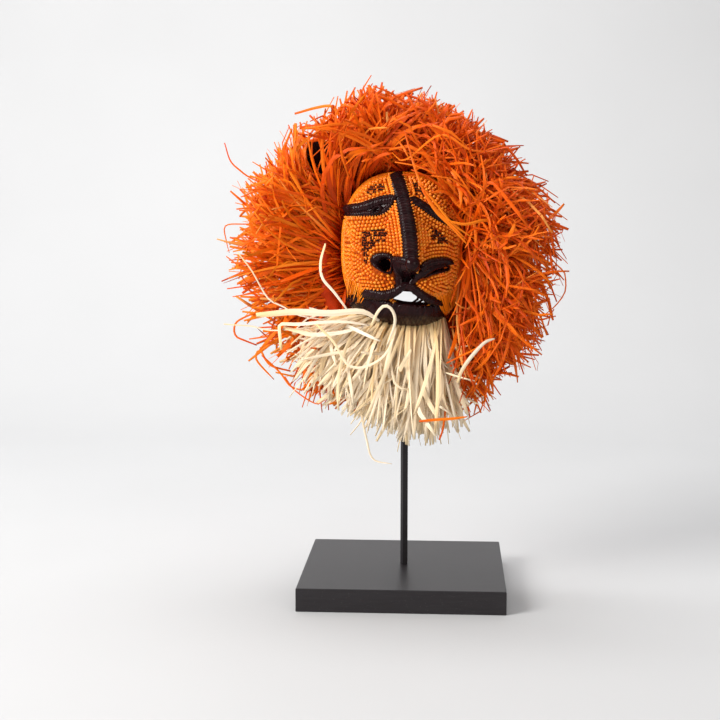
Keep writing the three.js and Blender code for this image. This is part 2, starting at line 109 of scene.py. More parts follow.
def held_in(line, limit):
    """A line of shares drawn in where it goes past a share of the outline."""
    return line * np.minimum(1, limit / share_out(*line.T))[:, None]


def face_frame(line):
    """The run, the outward way and the way across at each point of a line of shares."""
    u, v = line.T
    run = unit(np.gradient(face_point(u, v), axis=0))
    out = face_normal(u, v)
    return run, out, np.cross(out, run)


def outline_radius(angle, grow=0.0):
    across = np.abs(np.cos(angle) / (HALF_WIDTH + grow)) ** OUTLINE_POWER
    upward = np.abs(np.sin(angle) / (HALF_HEIGHT + grow)) ** OUTLINE_POWER
    return (across + upward) ** (-1 / OUTLINE_POWER)


def round_face(angle, radius, depth):
    """Points round the face, at a radius from its middle and a depth from its rim."""
    return np.stack([radius * np.cos(angle), depth, radius * np.sin(angle)], -1) + FACE_CENTRE


def curve_through(points, steps=16):
    """A smooth curve through points of any number of dimensions."""
    points = np.asarray(points, float)
    held = np.vstack([2 * points[0] - points[1], points, 2 * points[-1] - points[-2]])
    t = (np.arange(steps) / steps)[:, None]
    parts = []
    for a, b, c, d in zip(held, held[1:], held[2:], held[3:]):
        bend, twist = 2 * a - 5 * b + 4 * c - d, 3 * b - a - 3 * c + d
        parts.append(0.5 * (2 * b + (c - a) * t + bend * t**2 + twist * t**3))
    return np.vstack(parts + [points[-1:]])


def evenly(points, count, measured=None):
    """Points spread evenly along a line, by the length of measured if that is another line."""
    measured = points if measured is None else measured
    run = np.concatenate([[0], np.cumsum(np.linalg.norm(np.diff(measured, axis=0), axis=1))])
    wanted = np.linspace(0, run[-1], count)
    return np.stack([np.interp(wanted, run, column) for column in points.T], -1), run[-1]


def even_on_face(line, spacing):
    """A line of shares with points spaced evenly over the face."""
    line = np.asarray(line, float)
    spots = face_point(line[:, 0], line[:, 1])
    length = np.linalg.norm(np.diff(spots, axis=0), axis=1).sum()
    return evenly(line, max(int(length / spacing) + 1, 2), spots)[0]


# Making meshes

scene = bpy.context.scene


def finished(name, mesh, material, slot, *replaced):
    """A finished piece of the object, which rides on the mask."""
    mesh.name = name
    mesh.polygons.foreach_set("use_smooth", [True] * len(mesh.polygons))
    mesh.materials.append(material)
    made = bpy.data.objects.new(name, mesh)
    scene.collection.objects.link(made)
    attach(made, "root")
    if replaced:
        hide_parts(*replaced)
    return made


def to_mesh(work):
    mesh = bpy.data.meshes.new("work")
    work.to_mesh(mesh)
    work.free()
    return mesh


def shaped_grid(columns, rows, place, closed=False, marks=()):
    """A grid laid out by place(a, t), both from 0 to 1. closed joins its sides and closes its ends.
    marks names the numbers that place gives after its points, kept for the material."""
    work = bmesh.new()
    bmesh.ops.create_grid(work, x_segments=columns, y_segments=rows, size=0.5)
    flat = np.array([vert.co[:2] for vert in work.verts]) + 0.5
    spots, *numbers = place(flat[:, 0], flat[:, 1])
    for vert, spot in zip(work.verts, spots * MM):
        vert.co = spot
    for mark, values in zip(marks, numbers):
        layer = work.verts.layers.float.new(mark)
        for vert, value in zip(work.verts, np.broadcast_to(values, len(flat))):
            vert[layer] = value
    if closed:
        bmesh.ops.remove_doubles(work, verts=work.verts, dist=1e-6)
        bmesh.ops.holes_fill(work, edges=[edge for edge in work.edges if edge.is_boundary], sides=0)
        bmesh.ops.recalc_face_normals(work, faces=work.faces)
    return work


def joined(works):
    """Several bmeshes as one mesh."""
    whole = bmesh.new()
    for work in works:
        mesh = to_mesh(work)
        whole.from_mesh(mesh)
        bpy.data.meshes.remove(mesh)
    return to_mesh(whole)


def copies(shape, count):
    """A mesh with copies of a small shape one after another, and the shape's own points."""
    packed = to_mesh(shape)
    work = bmesh.new()
    work.from_mesh(packed)
    bpy.data.meshes.remove(packed)
    base = np.array([vert.co[:] for vert in work.verts])
    verts, edges, faces = len(work.verts), len(work.edges), len(work.faces)
    made = 1
    while made < count:
        more = min(made, count - made)
        for part in (work.verts, work.edges, work.faces):
            part.ensure_lookup_table()
        some = work.verts[: more * verts] + work.edges[: more * edges] + work.faces[: more * faces]
        bmesh.ops.duplicate(work, geom=some)
        made += more
    return to_mesh(work), base


def set_points(mesh, spots, **marks):
    """Moves a mesh's points, given in millimetres, and keeps a number for each under each mark."""
    mesh.vertices.foreach_set("co", (spots.reshape(-1, 3) * MM).astype(np.float32).ravel())
    for mark, values in marks.items():
        layer = mesh.attributes.new(mark, "FLOAT", "POINT")
        layer.data.foreach_set("value", np.ascontiguousarray(values, dtype=np.float32).ravel())
    mesh.update()


# Materials

WHITE = (1.0, 1.0, 1.0)


def plain(name, roughness, specular):
    """A material and its shader."""
    material = bpy.data.materials.new(name)
    material.use_nodes = True
    shader = material.node_tree.nodes["Principled BSDF"]
    shader.inputs["Roughness"].default_value = roughness
    shader.inputs["Specular IOR Level"].default_value = specular
    return material, shader


def node(material, kind, links=(), **values):
    """A new node. links pairs an input with another node's output; values sets its own properties."""
    made = material.node_tree.nodes.new(kind)
    for prop, value in values.items():
        setattr(made, prop, value)
    for socket, source in links:
        if isinstance(source, bpy.types.NodeSocket):
            material.node_tree.links.new(source, made.inputs[socket])
        else:
            made.inputs[socket].default_value = source
    return made


def mark_of(material, mark):
    return node(material, "ShaderNodeAttribute", attribute_name=mark).outputs["Fac"]


def ramp_of(material, factor, stops):
    made = node(material, "ShaderNodeValToRGB", [("Fac", factor)])
    elements = made.color_ramp.elements
    while len(elements) < len(stops):
        elements.new(0.5)
    for element, (place, colour) in zip(elements, stops):
        element.position = place
        element.color = (*colour, 1)
    return made.outputs["Color"]


def blended(material, first, second, how="MULTIPLY"):
    """Two colours, multiplied unless another way is named."""
    made = node(material, "ShaderNodeMix", data_type="RGBA", blend_type=how)
    made.inputs[0].default_value = 1.0
    material.node_tree.links.new(first, made.inputs[6])
    material.node_tree.links.new(second, made.inputs[7])
    return made.outputs[2]


def noise_of(material, place, scale, detail=3.0, rough=0.5):
    links = [("Vector", place), ("Scale", scale), ("Detail", detail), ("Roughness", rough)]
    return node(material, "ShaderNodeTexNoise", links).outputs["Fac"]


def finish_with(material, shader, colour, height=None, distance=0.0, strength=0.0):
    """Links a material's colour, and its fine relief if a height is given."""
    links = material.node_tree.links
    links.new(colour, shader.inputs["Base Color"])
    if height is not None:
        inputs = [("Height", height), ("Distance", distance), ("Strength", strength)]
        links.new(node(material, "ShaderNodeBump", inputs).outputs["Normal"], shader.inputs["Normal"])


def raffia(name, stops, root, streak):
    """Raffia: its colour from each strand's tint, fibres along it, and a painted shade that darkens it
    towards its root.
    """
    material, shader = plain(name, 0.45, 0.14)
    tint, along, across = (mark_of(material, mark) for mark in ("tint", "along", "across"))
    lane, run, own = (
        node(material, "ShaderNodeMath", [(0, mark), (1, pace)], operation="MULTIPLY").outputs[0]
        for mark, pace in ((across, 7.0), (along, 2.2), (tint, 61.0))
    )
    place = node(material, "ShaderNodeCombineXYZ", [("X", lane), ("Y", run), ("Z", own)]).outputs[0]
    fibres = noise_of(material, place, 1.0)
    shade = ramp_of(material, fibres, [(0.3, (1 - streak,) * 3), (0.7, WHITE)])
    # Painted shade: each strand darkens towards its root, where it lies packed by the rim
    depth = ramp_of(material, along, [(0.0, root), (0.45, WHITE)])
    colour = blended(material, ramp_of(material, tint, stops), shade)
    finish_with(material, shader, blended(material, colour, depth), fibres, 0.0004, 0.35)
    return material


def object_place(material, scale=(1.0, 1.0, 1.0)):
    spot = node(material, "ShaderNodeTexCoord").outputs["Object"]
    return node(material, "ShaderNodeMapping", [("Vector", spot), ("Scale", scale)]).outputs[0]


# Each raffia: its colours by tint, the painted shade at its strands' roots, and how strong its fibre streaks
# are. The darkest orange tints also paint shade in the mane's core, right and top.
orange_raffia = raffia(
    "orange_raffia",
    [(0.0, (0.5, 0.045, 0.001)), (0.2, (0.82, 0.1, 0.002)), (0.4, (0.97, 0.17, 0.005)),
     (0.75, (0.98, 0.25, 0.009)), (1.0, (0.98, 0.42, 0.11))],
    (0.78, 0.48, 0.34),
    0.25,
)
natural_raffia = raffia(
    "natural_raffia",
    [(0.0, (1.0, 0.64, 0.27)), (0.4, (1.0, 0.78, 0.48)), (1.0, (1.0, 0.87, 0.70))],
    (1.0, 0.85, 0.58),
    0.2,
)


def orange_weave_finish():
    """Orange strips, each stitch of its own tint, a little uneven from place to place."""
    material, shader = plain("orange_weave", 0.3, 0.45)
    tint = mark_of(material, "tint")
    place = object_place(material)
    patches = noise_of(material, place, 60.0)
    fibres = noise_of(material, place, 1400.0, 2.0)
    stops = [(0.0, (0.88, 0.165, 0.004)), (0.5, (0.98, 0.275, 0.009)), (1.0, (0.99, 0.37, 0.026))]
    colour = ramp_of(material, tint, stops)
    shade = ramp_of(material, patches, [(0.3, (0.82, 0.76, 0.7)), (0.7, WHITE)])
    finish_with(material, shader, blended(material, colour, shade), fibres, 0.0002, 0.3)
    return material


def ground_finish():
    """The weave between the stitches, painted dark red as the shade in the gaps between them."""
    material, shader = plain("weave_ground", 0.8, 0.08)
    place = object_place(material)
    threads = noise_of(material, place, 500.0, 2.0)
    # Painted shade: the ground's dark red stands for the shadow between the stitches
    colour = ramp_of(material, threads, [(0.35, (0.22, 0.028, 0.002)), (0.65, (0.50, 0.08, 0.004))])
    finish_with(material, shader, colour, threads, 0.0006, 0.6)
    return material


def dark_weave_finish():
    """Very dark brown palm fibre, polished by use, with fine lines. It is dull inside a nostril, and at its
    darkest brown there as painted shade.
    """
    material, shader = plain("dark_weave", 0.22, 0.13)
    tint = mark_of(material, "tint")
    dull = ramp_of(material, tint, [(0.0, (0.95,) * 3), (0.03, (0.15,) * 3)])
    material.node_tree.links.new(dull, shader.inputs["Roughness"])
    place = object_place(material)
    broad = noise_of(material, place, 90.0)
    fine = noise_of(material, place, 1500.0, 2.0)
    # Tints below 0, down the funnels of the nostrils, take the darkest colour: a painted shade in the holes
    colour = ramp_of(material, tint, [(0.0, (0.008, 0.0016, 0.0024)), (1.0, (0.019, 0.0056, 0.0064))])
    wear = ramp_of(material, broad, [(0.4, WHITE), (0.75, (1.5, 1.1, 1.0))])
    finish_with(material, shader, blended(material, colour, wear), fine, 0.0002, 0.35)
    return material


def black_wood_finish():
    """Black painted wood with a fine open grain and light specks."""
    material, shader = plain("base_black", 0.38, 0.3)
    grain = noise_of(material, object_place(material, (6.0, 90.0, 90.0)), 6.0, 6.0, 0.6)
    cells = node(material, "ShaderNodeTexVoronoi", [("Vector", object_place(material)), ("Scale", 420.0)])
    colour = ramp_of(material, grain, [(0.3, (0.015, 0.0125, 0.0145)), (0.7, (0.021, 0.0185, 0.0205))])
    specks = ramp_of(material, cells.outputs["Distance"], [(0.05, (0.16, 0.15, 0.15)), (0.09, (0.0,) * 3)])
    finish_with(material, shader, blended(material, colour, specks, "ADD"), grain, 0.0002, 0.25)
    return material


def black_metal_finish():
    """Black painted steel with the paint's fine orange peel."""
    material, shader = plain("stand_black", 0.5, 0.2)
    peel = noise_of(material, object_place(material), 900.0, 2.0)
    colour = ramp_of(material, peel, [(0.3, (0.012, 0.010, 0.012)), (0.7, (0.020, 0.018, 0.020))])
    finish_with(material, shader, colour, peel, 0.0001, 0.3)
    return material


orange_weave = orange_weave_finish()
weave_ground = ground_finish()
dark_weave = dark_weave_finish()
base_black = black_wood_finish()
stand_black = black_metal_finish()

for cad_name, finish in (("base", base_black), ("stand_bar", stand_black), ("cradle", stand_black)):
    for material_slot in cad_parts[cad_name].material_slots:
        material_slot.material = finish

# Places of the face's features, as shares of its half width and half height

RIDGE = [[ridge_across(v), v] for v in (0.955, 0.75, 0.54, 0.33, 0.12, -0.1)]
BROW_LEFT = [[-0.9, 0.508], [-0.80, 0.516], [-0.675, 0.531], [-0.54, 0.556], [-0.45, 0.58], [-0.31, 0.615],
             [-0.144, 0.635], [-0.05, 0.645]]
LID_LEFT = [[-0.9, 0.447], [-0.8, 0.454], [-0.671, 0.458], [-0.537, 0.462], [-0.42, 0.466], [-0.32, 0.478],
            [-0.224, 0.515], [-0.142, 0.575], [-0.11, 0.6]]
EYE_LEFT = [[-0.92, 0.44], [-0.92, 0.53], [-0.54, 0.57], [-0.31, 0.63], [-0.05, 0.65], [-0.14, 0.57],
            [-0.23, 0.50],
            [-0.33, 0.455], [-0.6, 0.44]]
BROW_RIGHT = [[0.13, 0.64], [0.23, 0.615], [0.35, 0.56], [0.45, 0.51], [0.56, 0.45], [0.68, 0.39],
              [0.84, 0.325]]
UPPER_LIP = [[-0.6, -0.575], [-0.5, -0.565], [-0.36, -0.575], [-0.2, -0.57], [-0.07, -0.53],
             [0.03, -0.47], [0.14, -0.46], [0.25, -0.51], [0.38, -0.585], [0.52, -0.65], [0.64, -0.69]]
LOWER_LIP = [[-0.8, -0.645], [-0.64, -0.69], [-0.45, -0.745], [-0.2, -0.8], [0.08, -0.835], [0.34, -0.845],
             [0.51, -0.83], [0.63, -0.79]]
MOUTH = [[-0.13, -0.64], [-0.05, -0.575], [0.045, -0.505], [0.15, -0.505], [0.21, -0.56], [0.29, -0.605],
         [0.38, -0.655], [0.51, -0.725], [0.38, -0.745], [0.225, -0.745], [0.05, -0.725], [-0.06, -0.69]]
NOSTRIL_LEFT = [[-0.466, -0.114], [-0.432, -0.062], [-0.336, -0.032], [-0.203, -0.034], [-0.116, -0.064],
                [-0.087, -0.122], [-0.096, -0.226], [-0.125, -0.293], [-0.182, -0.305], [-0.258, -0.295],
                [-0.353, -0.259], [-0.43, -0.216], [-0.47, -0.165]]
NOSTRIL_LEFT_HOLE = [[-0.345, -0.164], [-0.315, -0.135], [-0.279, -0.119], [-0.194, -0.114], [-0.15, -0.13],
                     [-0.137, -0.16], [-0.133, -0.213], [-0.15, -0.25], [-0.175, -0.27], [-0.231, -0.276],
                     [-0.3, -0.237], [-0.335, -0.2]]
NOSTRIL_RIGHT_ROLL = [[0.33, -0.24], [0.358, -0.217], [0.412, -0.19], [0.504, -0.163], [0.615, -0.152],
                      [0.727, -0.152], [0.802, -0.185]]
NOSTRIL_RIGHT_INNER = [[0.15, -0.45], [0.245, -0.362], [0.357, -0.293], [0.468, -0.243], [0.578, -0.209],
                       [0.70, -0.2]]
NOSTRIL_RIGHT_LOWER = [[0.38, -0.36], [0.468, -0.318], [0.579, -0.293], [0.709, -0.28], [0.79, -0.245]]
SLIT = [[0.37, -0.34], [0.42, -0.27], [0.53, -0.225], [0.66, -0.2], [0.79, -0.21], [0.8, -0.245],
        [0.7, -0.275], [0.55, -0.29], [0.44, -0.325]]
SLIT_HOLE = [[0.40, -0.325], [0.46, -0.275], [0.56, -0.245], [0.67, -0.222], [0.76, -0.226], [0.765, -0.238],
             [0.69, -0.258], [0.55, -0.275], [0.45, -0.31]]
# The holes behind the nostrils, each with its middle and its half size
NOSTRIL_HOLES = (((-0.245, -0.19), (0.1, 0.075)), ((0.6, -0.245), (0.13, 0.025)))


def inside(outline, u, v):
    """Which points lie within an outline of shares."""
    outline = np.asarray(outline)
    hit = np.zeros(np.shape(u), bool)
    for (a, b), (c, d) in zip(outline, np.roll(outline, -1, axis=0)):
        crosses = (b > v) != (d > v)
        with np.errstate(divide="ignore", invalid="ignore"):
            hit ^= crosses & (u < (c - a) * (v - b) / (d - b if d != b else 1e-9) + a)
    return hit


def shell_ground():
    """The face's shell, with the mouth cut through it. The grid's square is drawn to the outline."""
    work = bmesh.new()
    bmesh.ops.create_grid(work, x_segments=112, y_segments=136, size=1)
    flat = np.array([vert.co[:2] for vert in work.verts])
    size = np.maximum(np.abs(flat).max(axis=1), 1e-9)
    towards = flat / size[:, None]
    share = np.sin(size * math.pi / 2) * 0.45 + size * 0.55
    full = np.maximum(share_out(towards[:, 0], towards[:, 1]), 1e-9)
    uv = towards / full[:, None] * share[:, None]
    gone = inside(MOUTH, uv[:, 0], uv[:, 1])
    for middle, half in NOSTRIL_HOLES:
        gone |= (((uv - middle) / half) ** 2).sum(axis=1) < 1
    # Points just inside the mouth move to its edge
    edge = curve_through(MOUTH + MOUTH[:1], 8)
    for index in np.flatnonzero(inside(MOUTH, uv[:, 0], uv[:, 1])):
        near = edge[np.argmin(np.linalg.norm((edge - uv[index]) * (1, 1.26), axis=1))]
        if np.linalg.norm((near - uv[index]) * (HALF_WIDTH, HALF_HEIGHT)) < 0.9:
            uv[index] = near
            gone[index] = False
    spots = face_point(uv[:, 0], uv[:, 1]) * MM
    work.verts.ensure_lookup_table()
    for vert, spot in zip(work.verts, spots):
        vert.co = spot
    bmesh.ops.delete(work, geom=[work.verts[i] for i in np.flatnonzero(gone)], context="VERTS")
    # The side wall grows back from the rim
    at_rim = FACE_CENTRE[1] * MM - 0.0001
    rim = [edge for edge in work.edges if edge.is_boundary and all(vert.co.y > at_rim for vert in edge.verts)]
    for _ in range(4):
        drawn = bmesh.ops.extrude_edge_only(work, edges=rim)["geom"]
        corners = [item for item in drawn if isinstance(item, bmesh.types.BMVert)]
        bmesh.ops.translate(work, verts=corners, vec=(0, SIDE_WALL / 4 * MM, 0))
        rim = [item for item in drawn if isinstance(item, bmesh.types.BMEdge) and item.is_boundary]
    bmesh.ops.recalc_face_normals(work, faces=work.faces)
    work.faces.ensure_lookup_table()
    middle = min(work.faces, key=lambda face: face.calc_center_median().y)
    if middle.normal.y > 0:
        bmesh.ops.reverse_faces(work, faces=work.faces)
    return to_mesh(work)


ground = finished("face_ground", shell_ground(), weave_ground, "orange_weave", "mask_shell")
wall = ground.modifiers.new("wall", "SOLIDIFY")
wall.thickness = WALL * MM
wall.offset = -1


# Dark rolls wound with fibre, laid on the face


def rounded(x):
    """A half circle's height at x across."""
    return np.sqrt(np.maximum(1 - x * x, 0))


def ends(t, share):
    """A width that rounds off at both ends, each over a share of the length."""
    return np.sqrt(np.clip(np.minimum((t + 0.004) / share, (1.004 - t) / share), 0, 1))


# How far round its section a roll's upper side goes, and how deep its underside is sunk
UPPER_SIDE, SUNK = 0.7, 2.2


def roll(line, half, rise, pitch, groove, slant, seed, columns=18, rows_each=8, limit=0.985):
    """A wound roll along a line of shares. half gives its half width at t, rise its height at x across."""
    fine = curve_through(line)
    fine = evenly(fine, 400, face_point(fine[:, 0], fine[:, 1]))[0]
    length = np.linalg.norm(np.diff(face_point(fine[:, 0], fine[:, 1]), axis=0), axis=1).sum()
    flat = fine * (HALF_WIDTH, HALF_HEIGHT)
    tangents = unit(np.gradient(flat, axis=0))
    windings = length / pitch
    uneven = np.random.default_rng(seed).normal(size=(3, int(windings) + 12))
    shares = np.linspace(0, 1, len(fine))

    def place(a, t):
        top = a < UPPER_SIDE
        over = -np.cos(math.pi * np.clip(a / UPPER_SIDE, 0, 1))
        under = np.cos(math.pi * np.clip((a - UPPER_SIDE) / (1 - UPPER_SIDE), 0, 1))
        x = np.where(top, over, under)
        spot = np.stack([np.interp(t, shares, flat[:, i]) for i in (0, 1)], -1)
        tangent = np.stack([np.interp(t, shares, tangents[:, i]) for i in (0, 1)], -1)
        phase = t * windings + slant * x + 4
        turn = np.clip(np.floor(phase).astype(int), 0, uneven.shape[1] - 1)
        swell = np.abs(np.sin(math.pi * phase)) ** 0.6
        reach = x * half(t) * (1 + 0.03 * uneven[0][turn]) * (0.97 + 0.03 * swell)
        across = spot + np.stack([tangent[:, 1], -tangent[:, 0]], -1) * reach[:, None]
        u, v = across[:, 0] / HALF_WIDTH, across[:, 1] / HALF_HEIGHT
        hold = np.minimum(1, limit / share_out(u, v))
        bump = groove * (swell - 1 + 0.25 * uneven[1][turn])
        stand = np.where(top, rise(t, x) + bump * rounded(x * 0.9), -SUNK)
        return on_face(u * hold, v * hold, stand), 0.5 + 0.25 * uneven[2][turn], t

    rows = max(int(windings * rows_each), 12)
    return shaped_grid(columns, rows, place, closed=True, marks=("tint", "along"))


def ring_roll(outer, inner, height, funnel, windings, seed):
    """A wound ring between two outlines of shares, with a funnel inside."""
    outer, inner = (evenly(curve_through(list(ring) + [ring[0]]), 241)[0][:-1] for ring in (outer, inner))
    middle = inner.mean(axis=0)

    def by_angle(points):
        angle = np.arctan2(points[:, 1] - middle[1], points[:, 0] - middle[0])
        order = np.argsort(angle)
        return angle[order], points[order]

    (outer_angle, outer), (inner_angle, inner) = by_angle(outer), by_angle(inner)
    rim_points = face_point(inner[:, 0], inner[:, 1])
    into = unit(face_normal(inner[:, 0], inner[:, 1]).mean(axis=0) + np.array([0, -0.5, 0]))
    uneven = np.random.default_rng(seed).normal(size=(2, windings + 2))
    # The section's share of the way in, past 1 down the funnel, and its height
    profile = np.array([[2.0, -funnel - 2.4], [1.1, -funnel - 2.4], [0.85, -0.9 * funnel],
                        [0.7, -0.5 * funnel],
                        [0.45, -3.4], [0.0, -2.4], [0.0, 0.2], [0.06, 0.55 * height], [0.22, 0.9 * height],
                        [0.45, height], [0.68, 0.86 * height], [0.88, 0.5 * height], [1.0, 0.0],
                        [1.02, -0.5 * funnel], [1.1, -0.9 * funnel], [1.3, -funnel], [2.0, -funnel]])
    steps = np.linspace(0, 1, len(profile))

    def place(a, t):
        angle = -math.pi + 2 * math.pi * a
        out = np.stack([np.interp(angle, outer_angle, outer[:, i], period=2 * math.pi) for i in (0, 1)], -1)
        hole = np.stack([np.interp(angle, inner_angle, inner[:, i], period=2 * math.pi) for i in (0, 1)], -1)
        share = np.interp(t, steps, profile[:, 0])
        lift = np.interp(t, steps, profile[:, 1])
        phase = a * windings
        turn = np.clip(np.floor(phase).astype(int), 0, windings)
        swell = np.abs(np.sin(math.pi * phase)) ** 0.6 - 1
        on_roll = bell(share, 0.45, 0.5)
        spot = out + (hole - out) * np.minimum(share, 1)[:, None]
        lift = lift + on_roll * (0.5 * swell + 0.15 * uneven[0][turn])
        inward = np.clip(share - 1, 0, 0.98)[:, None]
        rolled = on_face(spot[:, 0], spot[:, 1], np.where(share > 1, 0, lift))
        centre = rim_points.mean(axis=0) - rolled
        pushed = rolled + (centre - into * (centre @ into)[:, None]) * inward
        pushed += into * np.where(share > 1, lift, 0)[:, None]
        # Down the funnel the tint drops to -0.5: the surface turns dull, and its colour goes to the darkest
        # brown as painted shade in the hole
        tone = np.where(share > 1.15, -0.5, 0.5 + 0.25 * uneven[1][turn])
        return np.where(inward > 0, pushed, rolled), tone, a

    return shaped_grid(max(windings * 6, 48), 64, place, closed=True, marks=("tint", "along"))


def steady(width):
    return lambda t: width * np.ones_like(t)


def tapered(width, share):
    return lambda t: width * ends(t, share)


def humped(height, low=0.3):
    return lambda t, x: height * (low + (1 - low) * rounded(x))


def flat_rise(height):
    return lambda t, x: height + 0 * x


def eye_ring(half_width, half_height, slope):
    """An outline round the coil of the eye."""
    return [(-0.362 + half_width * math.cos(a), 0.5 + half_height * math.sin(a) + slope * math.cos(a))
            for a in np.linspace(0, 6, 12)]


def wound(node_name, *works):
    finished(f"{node_name}_wound", joined(works), dark_weave, "dark_weave", node_name)


def lower_lip_half(t):
    return 12.6 * (0.3 + 0.7 * np.sin(math.pi * (0.1 + 0.74 * t)) ** 0.7)


def lower_lip_rise(t, x):
    knob = 5.0 * bell(t, 0.36, 0.05) * bell(x, 0.0, 0.42)
    return 9.6 * (0.25 + 0.75 * rounded(x)) + knob - 2.2 * bell(t, 0.36, 0.08) * (1 - bell(x, 0.0, 0.55))


def nose_knot():
    """The ball of the nose, wound round its own middle."""
    work = bmesh.new()
    bmesh.ops.create_uvsphere(work, u_segments=36, v_segments=24, radius=1)
    u, v = np.array(0.202), np.array(-0.165)
    centre, out = on_face(u, v, 2.2), face_normal(u, v)
    side = unit(np.cross(out, (0.3, 0, 1)))
    up = np.cross(side, out)
    layer = work.verts.layers.float.new("tint")
    for vert in work.verts:
        x, y, z = vert.co
        size = 7.6 + 0.35 * abs(math.sin(math.pi * (2.4 * z + 0.5 * x))) ** 0.6
        vert.co = (centre + (side * x * size + up * y * size + out * z * (size * 0.86))) * MM
        vert[layer] = 0.5
    return work


# Each roll: its line, half width, rise, pitch, groove, slant, seed and columns

wound("nose_ridge", roll(RIDGE, lambda t: 7.5 + 1.2 * (1 - t) ** 2, humped(4.9), 3.2, 1.35, 0.3, 11, 22))
wound(
    "eye_left",
    roll(BROW_LEFT, tapered(5.0, 0.08), humped(6.6, 0.2), 3.3, 1.1, 0.7, 12),
    roll(LID_LEFT, lambda t: (3.2 + 0.6 * bell(t, 0.62, 0.2)) * ends(t, 0.1),
         humped(4.8, 0.2), 3.0, 0.9, -0.5, 13, 14),
    roll([[-0.88, 0.48], [-0.65, 0.495], [-0.45, 0.515], [-0.3, 0.55], [-0.17, 0.6]],
         tapered(4.4, 0.2), flat_rise(3.2), 4.0, 0.2, 0.4, 26, 12),
    roll([[-0.90, 0.56], [-0.915, 0.50], [-0.925, 0.44], [-0.945, 0.385]],
         tapered(1.8, 0.2), humped(2.6, 0.2), 2.6, 0.7, 0.4, 28, 12, limit=0.99),
    ring_roll(eye_ring(0.105, 0.056, 0.024), eye_ring(0.03, 0.014, 0.012), 7.2, 3.5, 14, 5),
)
wound("eye_right",
      roll(BROW_RIGHT, lambda t: (4.5 - 0.6 * t) * ends(t, 0.1), humped(4.8, 0.3), 3.0, 0.9, 1.2, 14))
wound("upper_lip",
      roll(UPPER_LIP, lambda t: (4.6 + 1.0 * bell(t, 0.12, 0.2)) * ends(t, 0.05),
           humped(6.4, 0.25), 2.5, 0.95, 1.3, 15))
wound("lower_lip", roll(LOWER_LIP, lower_lip_half, lower_lip_rise, 3.2, 0.4, 1.9, 16, 34, 7))
wound("nostril_left", ring_roll(NOSTRIL_LEFT, NOSTRIL_LEFT_HOLE, 4.8, 13.0, 20, 17))
wound(
    "nostril_right",
    roll(NOSTRIL_RIGHT_ROLL, tapered(4.3, 0.12), humped(6.6, 0.2), 2.6, 0.9, 0.5, 19),
    roll(NOSTRIL_RIGHT_LOWER, tapered(1.5, 0.2), humped(3.0, 0.2), 2.6, 0.25, 0.5, 20, 12),
    ring_roll(SLIT, SLIT_HOLE, 1.2, 7.0, 24, 18),
)
wound(
    "nose_tip",
    nose_knot(),
    roll([[-0.09, -0.13], [0.0, -0.125], [0.1, -0.13], [0.18, -0.15]],
         steady(4.2), humped(4.6, 0.2), 2.8, 0.3, 0.6, 21),
    roll([[-0.045, -0.13], [-0.03, -0.22], [-0.016, -0.33], [0.0, -0.46]],
         steady(4.7), humped(4.8, 0.2), 9.0, 0.2, 1.2, 22),
    roll(NOSTRIL_RIGHT_INNER, tapered(4.0, 0.1), humped(5.2, 0.2), 5.0, 0.2, 1.6, 23),
    roll([[0.17, -0.2], [0.14, -0.3], [0.105, -0.44]], steady(3.6), humped(3.2, 0.2), 6.0, 0.2, 0.4, 24),
    roll([[0.02, -0.42], [0.09, -0.452], [0.16, -0.43]], steady(4.4), humped(4.2, 0.2), 6.0, 0.2, 0.4, 25),
    roll([[0.1, -0.14], [0.11, -0.3], [0.08, -0.47]],
         lambda t: 13 - 5 * t, flat_rise(1.8), 7.0, 0.2, 0.4, 27, 24),
)


# Strands of raffia


def strand_shape(steps):
    """One folded strand: three-sided, from z = 0 to 1."""
    work = bmesh.new()
    bmesh.ops.create_cone(work, segments=3, radius1=1, radius2=1, depth=1, cap_ends=True)
    bmesh.ops.translate(work, verts=work.verts, vec=(0, 0, 0.5))
    sides = [edge for edge in work.edges if abs(edge.verts[0].co.z - edge.verts[1].co.z) > 0.5]
    bmesh.ops.subdivide_edges(work, edges=sides, cuts=steps - 1, use_grid_fill=False)
    for edge in work.edges:
        edge.smooth = abs(edge.verts[0].co.z - edge.verts[1].co.z) < 0.01
    return work


def facing_of(way, loose, count, rng):
    """The ways that the flat sides of strands look, loosely round one way."""
    return unit(np.array(way) + loose * rng.normal(size=(count, 3)))


def strands(paths, facing, width, thick, tint, taper, twist=None):
    """A mesh of strands. paths is (strand, step, xyz); facing is the way each strand's flat side looks."""
    count, stations = paths.shape[:2]
    mesh, base = copies(strand_shape(stations - 1), count)
    station = np.rint(base[:, 2] * (stations - 1)).astype(int)
    run = unit(np.gradient(paths, axis=1))
    side = unit(np.cross(run, facing[:, None]))
    out = np.cross(side, run)
    if twist is not None:
        turn = twist[:, None] * np.linspace(-0.5, 0.5, stations)
        side, out = (side * np.cos(turn)[..., None] + out * np.sin(turn)[..., None],
                     out * np.cos(turn)[..., None] - side * np.sin(turn)[..., None])
    # The three corners of the section: two at the edges and the fold between them
    corner = np.arctan2(base[:, 1], base[:, 0])
    order = np.rint((corner - corner.min()) / (2 * math.pi / 3)).astype(int) % 3
    x = np.array([-1.0, 0.1, 1.0])[order]
    y = np.array([-0.3, 1.0, -0.3])[order]
    t = station / (stations - 1)
    swell = (1 - taper * (2 * t - 0.9) ** 2) * (1 - 0.3 * ramp(t, 0.85, 1.0))
    spots = (paths[:, station]
             + side[:, station] * (x * swell * width[:, None] / 2)[..., None]
             + out[:, station] * (y * thick[:, None])[..., None])
    ones = np.ones((count, 1))
    tints = np.clip(tint, 0, 1)[:, None] * np.ones(len(base))
    set_points(mesh, spots, tint=tints, along=ones * t, across=ones * x)
    return mesh


# The woven stitches, in rows that grow out from the dark rolls


